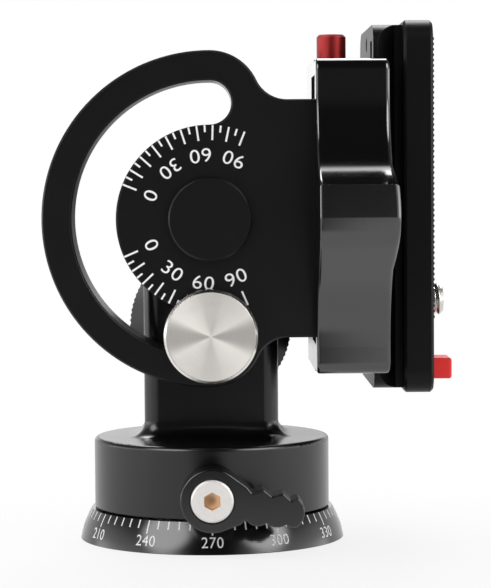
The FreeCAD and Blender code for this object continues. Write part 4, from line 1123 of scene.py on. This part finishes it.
@dataclass
class Studio:
    """Pale floor, white room and a soft lamp.

    The floor that reflections see repeats the dim strip before the object, as a wedge that widens
    towards the camera, and the dim part behind it. Its bands are metres from the pan axis, apart
    from far_band, which is square metres.
    """

    room: Surroundings = field(default_factory=Surroundings)
    ambient: float = 0.85
    floor_r: float = 1.5
    floor_drop: float = 0.05 * MM
    floor_segments: int = 96
    floor_colour: Colour = (0.9, 0.9, 0.9)
    floor_glow: float = 0.8
    far_band: Band = (0.015, 0.1)
    wedge_lean: float = 0.07
    wedge_spread: float = 0.13
    wedge_edge: Band = (0.008, 0.03)
    wedge_start: Band = (0.1, 0.14)
    behind_start: Band = (0.5, 0.62)
    behind_edge: Band = (-0.04, -0.02)
    lamp_spot: Point = (0.0, 0.5, 0.72)
    lamp_target: Point = (0.01, 0.0, 0.05)
    lamp_size: float = 0.5
    lamp_watts: float = 3.0

    def rays(self, graph: Graph) -> tuple[Signal, Signal]:
        """Return 1 for camera rays, and 1 for rays that a surface reflects or lets through."""
        path = graph.node("ShaderNodeLightPath").socket.node.outputs
        glossy = Signal(graph, path["Is Glossy Ray"])
        through = Signal(graph, path["Is Transmission Ray"])
        return Signal(graph, path["Is Camera Ray"]), glossy.larger(through)

    def world(self) -> None:
        """Light the scene from a white room."""
        world = bpy.data.worlds.new("studio")
        bpy.context.scene.world = world
        world.use_nodes = True
        graph = Graph(world.node_tree)
        camera, mirrored = self.rays(graph)
        rest = (1.0 - camera.larger(mirrored)) * self.ambient
        level = camera + mirrored * self.room.level(graph) + rest
        shade = graph.node("ShaderNodeBackground", None, {"Color": (1.0, 1.0, 1.0, 1.0), "Strength": level})
        graph.node("ShaderNodeOutputWorld", None, {"Surface": shade})

    def floor_material(self) -> bpy.types.Material:
        """Return a white floor that keeps the object's shadow and is clear from below."""
        made = bpy.data.materials.new("floor_white")
        made.use_nodes = True
        graph = Graph(made.node_tree)
        camera, mirrored = self.rays(graph)
        across, along, _ = graph.split(graph.node("ShaderNodeTexCoord", out="Object"))
        far = (across * across + along * along).ramp(*self.far_band)
        share = far * (1.0 - self.floor_glow) + self.floor_glow
        near = -along
        wedge = (across + near * self.wedge_lean).size() - near * self.wedge_spread
        dim = (1.0 - wedge.ramp(*self.wedge_edge)) * near.ramp(*self.wedge_start) * self.room.strip_dark
        behind = along.ramp(*self.behind_start) * across.ramp(*self.behind_edge) * self.room.cone_dark
        matte = graph.node("ShaderNodeBsdfDiffuse", None, {"Color": (*self.floor_colour, 1.0)})
        glow = graph.node("ShaderNodeEmission", None, {"Color": (1.0, 1.0, 1.0, 1.0), "Strength": 1.0})
        dark = graph.node("ShaderNodeEmission", None, {"Strength": 0.0})
        white = camera.larger(mirrored) * share
        black = mirrored * dim.larger(behind)
        lit = graph.node("ShaderNodeMixShader", None, {0: white, 1: matte, 2: glow})
        above = graph.node("ShaderNodeMixShader", None, {0: black, 1: lit, 2: dark})
        clear = graph.node("ShaderNodeBsdfTransparent")
        below = graph.node("ShaderNodeNewGeometry", out="Backfacing")
        both = graph.node("ShaderNodeMixShader", None, {0: below, 1: above, 2: clear})
        graph.node("ShaderNodeOutputMaterial", None, {"Surface": both})
        return made

    def floor(self) -> None:
        """Build the round floor."""
        mesh = bmesh.new()
        bmesh.ops.create_circle(mesh, cap_ends=True, segments=self.floor_segments, radius=self.floor_r)
        data = bpy.data.meshes.new("floor")
        mesh.to_mesh(data)
        mesh.free()
        floor = bpy.data.objects.new("floor", data)
        bpy.context.scene.collection.objects.link(floor)
        floor.location.z = -self.floor_drop
        data.materials.append(self.floor_material())
        floor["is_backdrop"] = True

    def lamp(self) -> None:
        """Hang one soft square lamp over the object."""
        data = bpy.data.lights.new("overhead", "AREA")
        data.size = self.lamp_size
        data.energy = self.lamp_watts
        lamp = bpy.data.objects.new("overhead", data)
        bpy.context.scene.collection.objects.link(lamp)
        lamp.location = self.lamp_spot
        aim = Vector(self.lamp_target) - Vector(self.lamp_spot)
        lamp.rotation_mode = "QUATERNION"
        lamp.rotation_quaternion = aim.to_track_quat("-Z", "Y")

    def build(self) -> None:
        """Build the world, the floor and the lamp, and set the plain view."""
        self.world()
        self.floor()
        self.lamp()
        bpy.context.scene.view_settings.view_transform = "Standard"


@dataclass
class Viewpoint:
    """Camera where the photograph was taken from; its turns are radians."""

    spot: Point = (-0.42 * MM, -464.0 * MM, 70.3 * MM)
    pitch: float = 0.04975
    yaw: float = 0.0156
    roll: float = -0.0068
    focal_px: float = 2380.0
    image_height_px: float = 588.0
    sensor: float = 36.0
    nearest: float = 0.01

    def build(self) -> None:
        """Place the camera."""
        data = bpy.data.cameras.new("camera")
        data.sensor_width = self.sensor
        data.lens = self.sensor * self.focal_px / self.image_height_px
        data.clip_start = self.nearest
        camera = bpy.data.objects.new("camera", data)
        bpy.context.scene.collection.objects.link(camera)
        turn = Matrix.Rotation(-self.yaw, 4, "Z") @ Matrix.Rotation(math.pi / 2.0 - self.pitch, 4, "X")
        camera.matrix_world = Matrix.Translation(self.spot) @ turn @ Matrix.Rotation(self.roll, 4, "Z")
        bpy.context.scene.camera = camera


def write_sizes() -> None:
    """Measure the CAD box and the dressed model's box as plain lists."""
    boxes = {"cad": CAD_BOX, "visual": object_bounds()}
    plain = {name: [list(low), list(high)] for name, (low, high) in boxes.items()}


def main() -> None:
    """Dress the tilt head and set up its studio."""
    logging.basicConfig(level=logging.INFO, format="%(name)s: %(message)s")
    for part in (PanBase(), Housing(), TiltArm(), TiltLock(), Clamp(), CameraPlate(), Studio(), Viewpoint()):
        part.build()
        log.info("%s is built", type(part).__name__)
    write_sizes()


if __name__ == "__main__":
    main()
